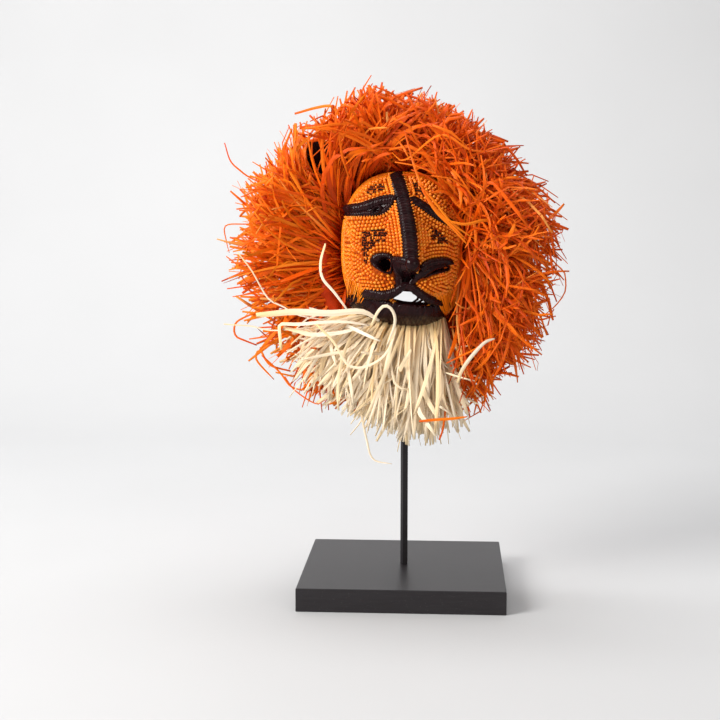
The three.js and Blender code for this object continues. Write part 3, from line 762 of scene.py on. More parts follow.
def walk(line, towards, distance, steps):
    """A line of shares moved sideways over the face by a distance. towards is 1 to its right, else -1."""
    line = line.copy()
    for _ in range(steps):
        u, v = line.T
        run = unit(np.gradient(face_point(u, v), axis=0))
        side = unit(np.cross(run, face_normal(u, v))) * towards * distance / steps
        du, dv = (moved / (2 * STEP) for moved in differences(u, v))
        uu, uv, vv = (du * du).sum(1), (du * dv).sum(1), (dv * dv).sum(1)
        su, sv = (side * du).sum(1), (side * dv).sum(1)
        fall = uu * vv - uv * uv
        line = line + np.stack([(su * vv - sv * uv) / fall, (sv * uu - su * uv) / fall], -1)
    return line


def settled(line, spacing=1.5):
    """The same line with its sharp turns taken out and its points spread evenly again."""
    line = even_on_face(line, spacing)
    for _ in range(2):
        if len(line) > 4:
            line[1:-1] = (line[:-2] + 2 * line[1:-1] + line[2:]) / 4
    return line


# The side of the cells in which stitches look for their neighbours, and how high a stitch stands
CELL, STITCH_HEIGHT = 3, 2.5


class Weave:
    """Gathers stitches, each where no other lies yet."""

    def __init__(self):
        self.rows = []
        self.grid = {}

    def free(self, spot, room):
        first = np.floor(spot / CELL).astype(int)
        for step in np.ndindex(3, 3, 3):
            for other, radius in self.grid.get(tuple(first + step - 1), ()):
                if np.linalg.norm(other - spot) < min(room, radius):
                    return False
        return True

    def take(self, spot, room):
        self.grid.setdefault(tuple(np.floor(spot / CELL).astype(int)), []).append((spot, room))

    def block(self, line, half):
        """Keeps stitches off a roll along a line of shares, half its width to each side."""
        fine = even_on_face(curve_through(line), 1.2)
        for offset in np.arange(-half, half + 0.1, 1.2):
            for spot in face_point(*walk(fine, 1, offset, 1).T):
                self.take(spot, 2.2)

    def sew(self, line, size, slant, rng, room, keep, limit=0.93):
        """A row of stitches along a line of shares. size is their spacing, length and width."""
        spacing, length, width = size
        line = even_on_face(line, spacing)
        if len(line) < 3:
            return
        u, v = line.T
        run, _, side = face_frame(line)
        way = run * math.cos(slant) + side * math.sin(slant)
        for i in np.flatnonzero((share_out(u, v) < limit) & keep(u, v)):
            vary = rng.normal(size=3)
            spot = face_point(u[i], v[i])
            if self.free(spot, room):
                self.take(spot, room)
                self.rows.append((u[i], v[i], *way[i], length * (1 + 0.06 * vary[0]),
                                  width * (1 + 0.06 * vary[1]), STITCH_HEIGHT, 0.5 + 0.22 * vary[2]))


def bead():
    work = bmesh.new()
    bmesh.ops.create_uvsphere(work, u_segments=6, v_segments=6, radius=1)
    return work


def stitches(rows, sink=0.25):
    """One mesh of stitches: each a bead, long along its way, with its ends let into the ground."""
    rows = np.array(rows)
    u, v, way, (length, width, height, tint) = rows[:, 0], rows[:, 1], rows[:, 2:5], rows[:, 5:9].T
    mesh, base = copies(bead(), len(rows))
    spot, out = face_point(u, v), face_normal(u, v)
    side = unit(np.cross(way, out))
    way = np.cross(out, side)
    x, y, z = base.T
    full = np.sign(z) * np.abs(z) ** 0.85
    across = side[:, None] * (x * width[:, None] / 2)[..., None]
    along = way[:, None] * (full * length[:, None] / 2)[..., None]
    rise = y * height[:, None] + (height * sink)[:, None] - 0.5 * (z * z) * height[:, None]
    points = spot[:, None] + across + along + out[:, None] * rise[..., None]
    set_points(mesh, points, tint=np.repeat(np.clip(tint, 0, 1), len(base)))
    return mesh


weave = Weave()
for line, half in (
    (RIDGE, 6.8), (BROW_LEFT, 3.2), (LID_LEFT, 1.4), (BROW_RIGHT, 3.0), (UPPER_LIP, 3.4), (LOWER_LIP, 9.0),
    (NOSTRIL_RIGHT_ROLL, 2.0), (NOSTRIL_RIGHT_INNER, 2.4),
    ([[0.42, -0.32], [0.55, -0.27], [0.68, -0.24], [0.78, -0.22]], 2.0),
    ([[-0.08, -0.13], [0.18, -0.15]], 3.0),
    ([[-0.04, -0.14], [-0.016, -0.33], [0.0, -0.46]], 3.6),
    ([[0.17, -0.2], [0.14, -0.3], [0.105, -0.46]], 6.0),
):
    weave.block(line, half)
nostril_rim = np.array(NOSTRIL_LEFT + NOSTRIL_LEFT[:1])
nostril_middle = np.mean(NOSTRIL_LEFT, axis=0)
for share in (0.15, 0.45, 0.75, 0.92):
    weave.block(nostril_middle + (nostril_rim - nostril_middle) * share, 0.6)

# The dark fields: on the cheek and the forehead, left and right
PATCHES = [
    [[-0.638, 0.2], [-0.59, 0.24], [-0.25, 0.272], [-0.215, 0.21], [-0.228, 0.1], [-0.356, 0.09],
     [-0.46, 0.03],
     [-0.515, -0.03], [-0.53, -0.17], [-0.6, -0.17], [-0.606, -0.028], [-0.627, 0.09]],
    [[-0.635, 0.685], [-0.551, 0.771], [-0.421, 0.861], [-0.256, 0.868], [-0.25, 0.755], [-0.372, 0.735],
     [-0.544, 0.675]],
    [[0.18, 0.86], [0.264, 0.855], [0.399, 0.765], [0.494, 0.69], [0.54, 0.625], [0.42, 0.665],
     [0.225, 0.71]],
    [[0.48, 0.30], [0.592, 0.275], [0.724, 0.155], [0.82, 0.05], [0.725, 0.06], [0.594, 0.09], [0.5, 0.16]],
]


def outside_patches(u, v):
    return ~np.any([inside(patch, u, v) for patch in PATCHES + [MOUTH, EYE_LEFT]], axis=0)


def sewn_rows():
    """Rows grown outward from each feature in turn, the nearest rows of all features first."""
    rng = np.random.default_rng(31)
    angles = np.linspace(-1.02 * math.pi, 1.02 * math.pi, 400)
    outline = np.stack([outline_radius(angles) * np.cos(angles) / HALF_WIDTH,
                        outline_radius(angles) * np.sin(angles) / HALF_HEIGHT], -1)
    # Spacing, length and width of the stitches
    coarse, middling, fine, finest = (4.2, 3.9, 3.45), (4.1, 3.8, 3.35), (3.9, 3.6, 3.15), (3.8, 3.5, 3.05)
    # Line, side, distance of the first row, pitch, number of rows, size and slant
    sources = [
        (RIDGE, 1, 9.0, 4.3, 5, (3.3, 4.6, 2.9), 0.62),
        (RIDGE, -1, 9.0, 4.3, 5, (3.3, 4.6, 2.9), -0.62),
        (LID_LEFT, 1, 5.0, 4.0, 9, coarse, 0.3),
        (BROW_LEFT, -1, 6.4, 4.0, 8, coarse, -0.3),
        (BROW_RIGHT, 1, 6.6, 3.9, 9, middling, 0.3),
        (BROW_RIGHT, -1, 6.4, 3.9, 8, middling, -0.3),
        (UPPER_LIP, -1, 6.6, 3.7, 9, fine, -0.3),
        (NOSTRIL_LEFT + NOSTRIL_LEFT[:2], -1, 2.0, 3.7, 9, fine, -0.3),
        (NOSTRIL_RIGHT_ROLL, -1, 6.0, 3.7, 9, fine, -0.3),
        (NOSTRIL_RIGHT_LOWER, 1, 3.4, 3.5, 9, finest, 0.3),
        (outline * 0.93, -1, 0.0, 3.7, 14, (4.2, 3.9, 3.3), 0.35),
    ]
    lines = []
    for line, side, first, *_ in sources:
        lines.append(walk(settled(curve_through(line)), side, first, 6) if first else line)
    # Slanted stitches down the left edge
    for share in (0.955, 0.895, 0.83, 0.765):
        weave.sew(outline * share, (4.4, 5.6, 3.1), 0.95, rng, 3.0,
                  lambda u, v: (u < -0.3) & (v > -0.5) & (v < 0.38), 0.97)
    for k in range(14):
        for index, (_, side, _, pitch, count, size, slant) in enumerate(sources):
            if k >= count:
                continue
            if k:
                lines[index] = held_in(settled(walk(lines[index], side, pitch, 4)), 0.975)
            weave.sew(lines[index], size, slant, rng, 0.8 * min(pitch, size[0] + 0.2), outside_patches)


sewn_rows()
finished("face_stitches", stitches(weave.rows), orange_weave, "orange_weave")


def patch_strokes():
    """Short dark and orange strokes, close together and uneven, in the four dark fields."""
    rng = np.random.default_rng(47)
    dark, bright = [], []
    for patch in PATCHES:
        outline = np.array(patch)
        low, high = outline.min(axis=0), outline.max(axis=0)
        for row, v in enumerate(np.arange(low[1], high[1], 2.6 / HALF_HEIGHT)):
            for u in np.arange(low[0], high[0], 1.75 / HALF_WIDTH):
                uu = u + rng.normal() * 0.25 / HALF_WIDTH
                vv = v + rng.normal() * 0.3 / HALF_HEIGHT
                chance, turn = rng.random(), rng.normal()
                if not inside(patch, np.array(uu), np.array(vv)):
                    continue
                # Two rows in three stand nearly upright
                angle = 1.57 + 0.35 * turn if (row + int(u * 40)) % 3 else 0.5 * turn
                way = unit(np.array([math.cos(angle), 0, math.sin(angle)]))
                wanted = dark if chance < 0.84 else bright
                wanted.append((uu, vv, *way, 2.9, 1.6, 1.3 if wanted is dark else 1.0, 0.5 + 0.25 * turn))
    return dark, bright


dark_strokes, bright_strokes = patch_strokes()
finished("pattern_dark_strokes", stitches(dark_strokes), dark_weave, "dark_weave")
finished("pattern_orange_strokes", stitches(bright_strokes), orange_weave, "orange_weave")


def teeth(rng, line, side, first, spacing, length, width, lean, height):
    """Stitch tips that bite into a dark roll's edge."""
    line = even_on_face(walk(settled(curve_through(line)), side, first, 6), spacing)
    u, v = line.T
    run, _, across = face_frame(line)
    way = unit(across + run * lean)
    found = []
    for i in np.flatnonzero(share_out(u, v) < 0.97):
        vary = rng.normal(size=3)
        found.append((u[i], v[i], *way[i], length * (1 + 0.12 * vary[0]), width, height, 0.5 + 0.2 * vary[1]))
    return found


# The lips and the chin, where no edge stitches lie
CHIN = [[-0.9, -0.6], [-0.55, -0.6], [0.0, -0.6], [0.72, -0.66], [0.9, -1.1], [-0.9, -1.1]]


def edge_stitches():
    """The long stitches, along the rolls' edges and over the outline."""
    rng = np.random.default_rng(53)
    made = []
    # Line, side, first distance, spacing, length, width, lean and height
    for row in (
        (RIDGE, 1, 7.3, 3.4, 4.8, 2.3, 0.6, 3.0),
        (RIDGE, -1, 7.3, 3.4, 4.8, 2.3, -0.6, 3.0),
        (BROW_LEFT, -1, 4.9, 3.0, 3.8, 2.1, 0.5, 2.6),
        (LID_LEFT, 1, 3.2, 3.0, 3.6, 2.1, 0.5, 2.4),
        (BROW_RIGHT, 1, 5.2, 3.0, 3.6, 2.0, 0.5, 2.0),
        (BROW_RIGHT, -1, 5.2, 3.0, 3.6, 2.0, 0.5, 2.0),
        (UPPER_LIP[:5], -1, 4.8, 2.2, 3.6, 1.7, 0.5, 1.5),
        (UPPER_LIP[7:], -1, 4.8, 2.2, 3.8, 1.7, 0.5, 1.5),
    ):
        made += teeth(rng, *row)
    angles = np.linspace(-math.pi, math.pi, 200, endpoint=False)
    radius = outline_radius(angles)
    for share, length in ((0.955, 9.5), (0.985, 8.0)):
        u, v = radius * np.cos(angles) / HALF_WIDTH * share, radius * np.sin(angles) / HALF_HEIGHT * share
        run, _, across = face_frame(np.stack([u, v], -1))
        way = unit(across + run * 0.9)
        for i in np.flatnonzero(~inside(CHIN, u, v)):
            made.append((u[i], v[i], *way[i], length * (1 + 0.1 * rng.normal()), 1.9, 1.5,
                         0.45 + 0.2 * rng.normal()))
    return made


finished("edge_stitches", stitches(edge_stitches(), 0.5), orange_weave, "orange_weave")


# Each jaw fringe: where its ends start, where they hang to, and how many there are
FRINGES = (([(-0.83, -0.362), (-0.725, -0.421), (-0.608, -0.48), (-0.52, -0.53)],
            [(-0.79, -0.60), (-0.72, -0.64), (-0.63, -0.655), (-0.56, -0.6)], 17),
           ([(0.56, -0.55), (0.68, -0.53), (0.8, -0.515), (0.92, -0.45)],
            [(0.63, -0.78), (0.69, -0.82), (0.75, -0.84), (0.84, -0.72)], 19))


def jaw_fringes():
    """Loose stitch ends that hang over the lips at the jaw's corners."""
    rng = np.random.default_rng(59)
    share = np.linspace(0, 1, 6)
    paths = []
    for top, bottom, count in FRINGES:
        for p, q in zip(evenly(curve_through(top), count)[0], evenly(curve_through(bottom), count)[0]):
            q = p + (q - p) * (1 + 0.12 * rng.normal()) + 0.012 * rng.normal(size=2)
            line = held_in(p + (q - p) * share[:, None], 0.975)
            paths.append(on_face(*line.T, 1.4 + 7.4 * share**1.1))
    count = len(paths)
    facing = facing_of([0.0, -1.0, 0.1], 0.25, count, rng)
    tint = 0.3 + 0.5 * rng.random(count)
    return strands(np.array(paths), facing, np.full(count, 1.5), np.full(count, 0.7), tint, 0.1)


finished("jaw_fringes", jaw_fringes(), orange_weave, "orange_weave")


def rim_cord():
    """The roll round the back of the rim, wound with orange raffia."""
    thick, windings = 3.6, 150

    def place(a, t):
        angle, turn = 2 * math.pi * t, 2 * math.pi * a
        phase = t * windings
        swell = 0.4 * np.abs(np.sin(math.pi * (phase + 0.3 * np.sin(turn)))) ** 0.6
        radius = outline_radius(angle, -2 + np.cos(turn) * (thick + swell))
        depth = SIDE_WALL + 4.3 + np.sin(turn) * (thick + swell)
        return round_face(angle, radius, depth), 0.4 + 0.2 * np.sin(17 * phase)

    return shaped_grid(10, 600, place, closed=True, marks=("tint",))


finished("rim_cord", to_mesh(rim_cord()), orange_weave, "orange_weave", "rim_roll")


def grown(roots, heading, lean, length, heading_end, lean_end, droop, steps, kink, kink_at):
    """Paths that turn from one way to another as they go. heading is round the face, lean is back.
    kink is how much each bends in one place, in both, and kink_at how far along."""
    t = np.linspace(0, 1, steps + 1)
    bent = ramp(t[None], kink_at[:, None] - 0.03, kink_at[:, None] + 0.1)
    along = heading[:, None] + (heading_end - heading)[:, None] * t + kink[:, None, 0] * bent
    back = lean[:, None] + (lean_end - lean)[:, None] * t**0.65 + kink[:, None, 1] * bent
    way = np.stack([np.cos(along) * np.cos(back), np.sin(back), np.sin(along) * np.cos(back)], -1)
    way[..., 2] -= droop[:, None] * t * 1.6
    way = unit(way)
    middles = (way[:, 1:] + way[:, :-1]) / 2 * (length / steps)[:, None, None]
    return np.concatenate([roots[:, None], roots[:, None] + np.cumsum(middles, axis=1)], axis=1)


# The part of the face that no loose strand covers
OPEN_FACE = [[-0.98, -0.8], [-1.0, 0.4], [-0.8, 0.95], [0.0, 1.06], [0.14, 0.98], [0.367, 0.80],
             [0.588, 0.58],
             [0.863, 0.36], [0.94, 0.03], [0.95, -0.19], [0.93, -0.5], [0.8, -0.95], [-0.7, -0.95]]


def clear_of_face(paths, whole=False):
    """Which strands keep out of the mask, and with whole set also off its open part and the beard."""
    u = (paths[..., 0] - FACE_CENTRE[0]) / HALF_WIDTH
    v = (paths[..., 2] - FACE_CENTRE[2]) / HALF_HEIGHT
    surface = FACE_CENTRE[1] - DEPTH * relief(u, v)
    within = (share_out(u, v) < 1.0) & (paths[..., 1] > surface - 1.0)
    if whole:
        within |= inside(OPEN_FACE, u, v) & (share_out(u, v) < 0.95) & (paths[..., 1] < 0)
        x, y, z = np.moveaxis(paths, -1, 0)
        within |= (x > -62) & (x < 48) & (z < 318) & (y < -30)
    return ~within.any(axis=1)


# How the mane lies, by the angle round the face in degrees from its right side: how crowded it is,
# how far its strands turn and spread on their way, and how far its front ones lean
ROUND = [0, 30, 60, 90, 120, 150, 180, 210, 240, 270, 300, 330, 360]
CROWD = [1.05, 1.0, 1.0, 1.0, 0.95, 1.05, 1.1, 1.0, 0.85, 0.6, 0.85, 1.05, 1.05]
TURN = [-10, -6, -4, -2, -14, -44, -34, -14, -6, 0, -6, -28, -10]
SPREAD = [78, 64, 40, 30, 28, 28, 28, 32, 38, 28, 28, 46, 84]
FRONT = [-72, -70, -62, -50, -40, -34, -34, -30, 0, 8, 0, -50, -72]
BACK_LEAN = 62

# How far the mane's edge is from the middle of the face, every 10 degrees from its right side
MANE_EDGE = [171, 172, 174, 154, 159, 154, 156, 159, 168, 159, 179, 171, 168, 178, 170, 176, 187, 174, 195,
             190, 188, 189, 184, 186, 193, 181, 190, 190, 190, 192, 189, 175, 187, 179, 173, 173, 171]
MANE_FRONT, MANE_BACK = 88.0, 84.0
# A gap in the mane shows the tip of the left ear. Its middle, and its half size
EAR_GAP = np.array([[-92.0, -54.0, 475.0], [14.0, 50.0, 15.0]])


def mane_fill(paths):
    """How far each strand's points are towards the mane's own limits, as a share."""
    away = paths - FACE_CENTRE
    angle = np.degrees(np.arctan2(away[..., 2], away[..., 0])) % 360
    rim = outline_radius(np.radians(angle))
    edge = np.interp(angle, np.arange(0, 361, 10), MANE_EDGE)
    out = (np.hypot(away[..., 0], away[..., 2]) - rim) / (edge - rim)
    back = away[..., 1] - SIDE_WALL - 3
    deep = np.where(back < 0, -back / MANE_FRONT, back / MANE_BACK)
    return (np.maximum(out, 0) ** 2.4 + deep**2.4) ** (1 / 2.4)


def mane_paths(locks, each, rng, steps=7):
    """Strands that grow in locks, and how far back and at what angle each grows."""
    place = rng.random(4 * locks) * 360
    place = place[rng.random(4 * locks) * 1.2 < np.interp(place, ROUND, CROWD)][:locks]
    locks = len(place)
    depth_of = rng.permutation((np.arange(locks) + 0.5) / locks)
    ways = rng.normal(size=(locks, 3))
    is_long = rng.random(locks) < 0.5
    reach = np.where(is_long, 0.97 + 0.05 * rng.normal(size=locks), 0.6 + 0.35 * rng.random(locks))
    of_lock = np.repeat(np.arange(locks), rng.poisson(each, locks))
    count = len(of_lock)
    angle = (place[of_lock] + 3.5 * rng.normal(size=count)) % 360
    level = np.clip(depth_of[of_lock] + 0.05 * rng.normal(size=count), 0, 1)
    radians = np.radians(angle)
    front, spread, turn = (np.radians(np.interp(angle, ROUND, table)) for table in (FRONT, SPREAD, TURN))
    lean = front + (math.radians(BACK_LEAN) - front) * level**1.3
    heading = radians + turn * 0.5 + spread * (0.6 * ways[of_lock, 0] + 0.4 * rng.normal(size=count))
    heading_end = heading + turn + spread * (0.75 * ways[of_lock, 1] + 0.7 * rng.normal(size=count))
    lean_end = lean * 0.08 + 0.22 * ways[of_lock, 2] + 0.2 * rng.normal(size=count)
    radius = outline_radius(radians, rng.random(count) * 6)
    depth = SIDE_WALL + 3 + 12 * np.sin(lean) + rng.normal(size=count) * 2.5
    roots = round_face(radians, radius, depth)
    droop = np.clip(0.12 + 0.12 * rng.normal(size=count), 0, 0.6)
    bent = rng.random(count) < np.where(np.cos(radians) > 0.4, 0.66, 0.3)
    kink = rng.normal(size=(count, 2)) * (1.25, 0.6) * bent[:, None]
    kink_at = 0.35 + 0.5 * rng.random(count)
    # Each strand is as long as its share of the way to the mane's limits
    is_long = rng.random(count) < 0.6
    share = np.where(is_long, 1.0 + 0.05 * rng.normal(size=count), 0.5 + 0.5 * rng.random(count))
    goal = reach[of_lock] * share
    length = np.full(count, 100.0)
    for _ in range(5):
        paths = grown(roots, heading, lean, length, heading_end, lean_end, droop, steps, kink, kink_at)
        length = np.clip(length * np.clip(goal / mane_fill(paths).max(axis=1), 0.4, 1.6), 20, 150)
    by_ear = (np.abs(paths - EAR_GAP[0]) < EAR_GAP[1]).all(axis=2).any(axis=1)
    keep = clear_of_face(paths, True) & ~(by_ear & (rng.random(count) < 0.93))
    return paths[keep], level[keep], angle[keep]


def mane_core():
    """The mass of packed raffia behind the loose strands, coloured dark red as painted shade for the mane's
    depths.
    """
    def place(a, t):
        angle, turn = 2 * math.pi * t, 2 * math.pi * a
        out = (1 + np.cos(turn)) / 2
        lump = 1 + 0.06 * np.sin(23 * angle + turn) + 0.04 * np.sin(41 * angle - 2 * turn)
        radius = outline_radius(angle, 3.0) + out * 46 * lump
        thick = 4 + 24 * np.sin(np.pi * np.minimum(out, 1) ** 0.7)
        across = np.sin(60 * angle + 3 * out)
        # A tint of 0.1 and no length along give the core the darkest raffia colour and the full root
        # darkening: painted shade
        return round_face(angle, radius, 22 + np.sin(turn) * thick), np.full(len(a), 0.1), 0 * out, across

    return shaped_grid(20, 240, place, closed=True, marks=("tint", "along", "across"))


finished("mane_core", to_mesh(mane_core()), orange_raffia, "orange_raffia", "mane")


# The way that most strands of the mane face
FRONT_LEFT = [-0.35, -1.0, 0.35]


def orange_strands(name, *shape):
    finished(name, strands(*shape), orange_raffia, "orange_raffia")


def mane():
    """The mane in three pieces, from its front to its back. It is finer on its right, and darker on its right
    and top as painted shade.
    """
    rng = np.random.default_rng(61)
    paths, level, angle = mane_paths(520, 11, rng)
    order = np.argsort(level, kind="stable")
    for index, part in enumerate(np.array_split(order, 3)):
        count = len(part)
        facing = facing_of(FRONT_LEFT, 0.6, count, rng)
        kind = rng.random(count)
        narrow, middling = 1.7 + 0.9 * rng.random(count), 2.6 + 1.3 * rng.random(count)
        wide = 3.8 + 1.8 * rng.random(count)
        width = np.where(kind < 0.4, narrow, np.where(kind < 0.86, middling, wide))
        on_right = ramp(np.cos(np.radians(angle[part])), 0.1, 0.6)
        on_top = ramp(np.sin(np.radians(angle[part])), 0.2, 0.8)
        thick = 0.15 + 0.25 * rng.random(count)
        # Painted shade: strands on the mane's right and top get lower, darker tints
        shaded_tint_limit = 0.88 * (1 - 0.36 * on_right) * (1 - 0.4 * on_top)
        is_pale = rng.random(count) < 0.03
        tint = np.where(is_pale, 0.8 + 0.2 * rng.random(count), rng.beta(2.2, 2.2, count) * shaded_tint_limit)
        width = width * (1.08 - 0.2 * on_right)
        twist = rng.normal(size=count) * 0.9
        orange_strands(f"mane_strands_{index + 1}", paths[part], facing, width, thick, tint, 0.15, twist)


mane()


def swept():
    """Strands from the top of the rim that fall forward over the face's right corner."""
    rng = np.random.default_rng(67)
    count = 240
    degrees = 14 + 70 * rng.random(count)
    radians = np.radians(degrees)
    radius = outline_radius(radians, 1.5 + 4 * rng.random(count))
    roots = round_face(radians, radius, SIDE_WALL + 2 - 14 * rng.random(count))
    heading_end = np.radians(-30 + 44 * rng.normal(size=count) - 0.35 * (90 - degrees))
    lean = np.radians(-74 + 12 * rng.normal(size=count))
    length = 42 + 62 * rng.random(count)
    lean_end = np.radians(10 + 22 * rng.normal(size=count))
    droop = 0.1 + 0.1 * rng.random(count)
    kink = rng.normal(size=(count, 2)) * (0.7, 0.3)
    paths = grown(roots, radians - math.radians(30), lean, length, heading_end, lean_end, droop, 10, kink,
                  0.3 + 0.5 * rng.random(count))
    paths = paths[clear_of_face(paths, True)]
    count = len(paths)
    facing = facing_of(FRONT_LEFT, 0.4, count, rng)
    width, tint = 1.4 + 2.2 * rng.random(count), 0.1 + 0.5 * rng.random(count)
    orange_strands("mane_swept", paths, facing, width, np.full(count, 0.25), tint, 0.15,
                   rng.normal(size=count) * 0.8)


swept()


def back_fringe():
    """Short strands behind the rim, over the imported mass."""
    rng = np.random.default_rng(69)
    count = 1500
    radians = 2 * math.pi * rng.random(count)
    radius = outline_radius(radians, 4 + 10 * rng.random(count))
    roots = round_face(radians, radius, SIDE_WALL + 10 + 26 * rng.random(count))
    heading = radians + 0.35 * rng.normal(size=count)
    lean = np.radians(70 + 10 * rng.normal(size=count))
    length = 34 + 44 * rng.random(count)
    heading_end = heading + 0.4 * rng.normal(size=count)
    lean_end = np.radians(8 + 18 * rng.normal(size=count))
    droop = 0.12 + 0.1 * rng.random(count)
    straight, middle = np.zeros((count, 2)), np.full(count, 0.5)
    paths = grown(roots, heading, lean, length, heading_end, lean_end, droop, 6, straight, middle)
    facing = facing_of([0.2, 1.0, 0.3], 0.5, count, rng)
    width, tint = 1.8 + 2.4 * rng.random(count), rng.beta(2.2, 2.2, count) * 0.8
    orange_strands("mane_back", paths, facing, width, np.full(count, 0.25), tint, 0.15,
                   rng.normal(size=count) * 0.8)


back_fringe()

# Where the beard grows from, under the lower lip
BEARD_LINE = [[-0.62, -0.80], [-0.42, -0.86], [-0.226, -0.89], [0.0, -0.92], [0.3, -0.93], [0.55, -0.88],
              [0.72, -0.80]]


def beard():
    """The beard: it fans out to the left, hangs straight on the right, and is layered from front to back."""
    rng = np.random.default_rng(71)
    count = 1300
    t = rng.random(count) ** 0.86
    layer = rng.random(count)
    u, v = evenly(curve_through(BEARD_LINE), 200)[0][(t * 199).astype(int)].T
    roots = face_point(u * 0.97, v * 0.97) + face_normal(u, v)
    roots[:, 1] += layer * 44
    roots[:, 2] -= 2 + 7 * layer
    base = np.interp(t, [0, 0.1, 0.22, 0.36, 0.55, 0.75, 0.9, 1],
                     [-170, -158, -140, -120, -102, -94, -91, -88])
    unruly = np.interp(t, [0, 0.12, 0.4, 0.7, 1], [0.5, 1.2, 1.1, 0.9, 0.6])
    heading = np.radians(base) + np.radians(14) * unruly * rng.normal(size=count)
    gathered = heading + (math.radians(-95) - heading) * 0.35
    heading_end = gathered + np.radians(26) * unruly * rng.normal(size=count)
    lean = -0.55 + 0.75 * layer + 0.12 * rng.normal(size=count)
    lean_end = -0.08 + 0.3 * layer + 0.1 * rng.normal(size=count)
    droop = np.clip(0.3 + 0.15 * rng.normal(size=count), 0, 0.8)
    length = np.interp(t, [0, 0.1, 0.22, 0.36, 0.55, 0.8, 1], [118, 116, 108, 111, 124, 128, 120])
    length = length * np.abs(np.sin(heading)) ** 0.08
    is_long = rng.random(count) < 0.45
    length = length * np.where(is_long, 0.97 + 0.07 * rng.normal(size=count), 0.5 + 0.45 * rng.random(count))
    bent = rng.random(count) < 0.34 * unruly
    kink = rng.normal(size=(count, 2)) * (1.0, 0.35) * bent[:, None]
    kink_at = 0.4 + 0.4 * rng.random(count)
    paths = grown(roots, heading, lean, length, heading_end, lean_end, droop, 9, kink, kink_at)
    keep = clear_of_face(paths[:, 1:])
    paths, layer, length = paths[keep], layer[keep], length[keep]
    count = len(paths)
    facing = facing_of([-0.3, -1.0, 0.2], 0.4, count, rng)
    width = (2.0 + 4.0 * rng.random(count) ** 1.6) * np.interp(length, [60, 100], [0.7, 1.0])
    # Painted shade: strands in the back layers are a little darker
    tint = 0.14 + 0.8 * rng.beta(2.4, 1.8, count) * (1 - 0.2 * layer)
    thick = 0.2 + 0.2 * rng.random(count)
    mesh = strands(paths, facing, width, thick, tint, 0.25, rng.normal(size=count) * 0.7)
    finished("beard_strands", mesh, natural_raffia, "natural_raffia", "beard")


beard()

# Single strands that stand apart, as lines in millimetres with their width and tint

STRAYS = {
    "orange": [
        ([(-194, -20, 490), (-188, -20, 471), (-178, -20, 461), (-165, -18, 452),
          (-130, -15, 437)], 1.8, 0.4),
        ([(-117, -30, 520), (-95, -30, 526), (-79, -30, 528), (-71, -30, 521), (-58, -28, 490)], 3.6, 0.7),
        ([(98, -62, 404), (84, -80, 408), (64, -90, 404), (45, -93, 408)], 3.2, 0.66),
        ([(20, -92, 440), (34, -94, 418), (52, -92, 400), (66, -88, 384)], 3.6, 0.6),
        ([(16, -90, 446), (32, -93, 428), (50, -92, 406), (72, -84, 390)], 2.6, 0.74),
        ([(1, -70, 500), (16, -84, 451), (31, -92, 424), (58, -93, 396), (66, -88, 388)], 2.4, 0.55),
        ([(97, -70, 478), (69, -76, 480), (38, -76, 495), (2, -66, 470), (-12, -60, 478)], 2.2, 0.6),
        ([(18, -90, 200), (36, -91, 202), (52, -90, 203), (68, -88, 205)], 3.0, 0.6),
        ([(46, -90, 261), (60, -88, 268), (78, -84, 277), (96, -70, 290)], 2.2, 0.5),
        ([(39, -70, 177), (43, -70, 190), (46, -60, 215)], 2.4, 0.4),
        ([(120, -20, 400), (144, -28, 387), (158, -30, 365), (170, -30, 353), (172, -30, 344),
          (171, -30, 330),
          (159, -30, 314), (144, -30, 303)], 1.6, 0.45),
        ([(-122, -36, 245), (-142, -40, 251), (-150, -40, 260), (-154, -40, 268), (-159, -40, 264),
          (-157, -40, 255),
          (-140, -38, 236)], 2.4, 0.6),
        ([(-160, -26, 272), (-174, -30, 278), (-182, -30, 282), (-184, -30, 291), (-178, -30, 300),
          (-150, -24, 312)], 2.2, 0.4),
        ([(-152, -45, 263), (-133, -45, 245), (-120, -45, 229), (-100, -45, 225)], 2.0, 0.5),
        ([(-127, -50, 241), (-116, -50, 226), (-94, -50, 212), (-83, -50, 216)], 1.6, 0.35),
        ([(-150, -16, 402), (-173, -20, 403), (-194, -20, 401), (-193, -20, 384),
          (-190, -20, 372)], 1.5, 0.5),
    ],
    "natural": [
        ([(-80, -82, 384), (-85, -83, 365), (-83, -83, 348), (-71, -80, 333), (-55, -76, 311)], 3.0, 0.9),
        ([(-175, -60, 374), (-160, -62, 355), (-143, -62, 326), (-127, -62, 317), (-109, -66, 308),
          (-77, -70, 303)], 1.8, 0.9),
        ([(-153, -80, 309), (-133, -82, 311), (-112, -85, 313), (-75, -88, 312), (-42, -88, 314),
          (-24, -84, 304)], 7.0, 0.75),
        ([(-127, -80, 273), (-129, -80, 298), (-127, -80, 300), (-107, -82, 300), (-87, -84, 302),
          (-60, -84, 303),
          (-34, -80, 299)], 4.0, 0.85),
        ([(-192, -50, 297), (-177, -52, 296), (-162, -52, 295), (-137, -56, 291), (-90, -64, 296)], 1.6, 0.8),
        ([(-125, -76, 296), (-108, -78, 292), (-93, -80, 289), (-66, -80, 291), (-40, -78, 298)], 5.0, 0.9),
        ([(-89, -92, 301), (-71, -94, 283), (-60, -94, 264), (-52, -94, 257), (-38, -94, 257),
          (-20, -94, 267),
          (-10, -92, 283), (-6, -86, 297)], 2.8, 0.7),
        ([(-33, -84, 297), (-30, -96, 303), (-25, -100, 314), (-18, -101, 321), (-11, -100, 318),
          (-7, -98, 308),
          (-9, -94, 296), (-16, -90, 278)], 3.2, 0.8),
        ([(-46, -66, 225), (-43, -70, 203), (-38, -70, 178), (-31, -70, 156), (-11, -70, 151)], 2.4, 0.8),
        ([(58, -84, 240), (62, -86, 253), (72, -87, 268), (85, -86, 282), (96, -80, 286)], 4.0, 0.85),
    ],
}


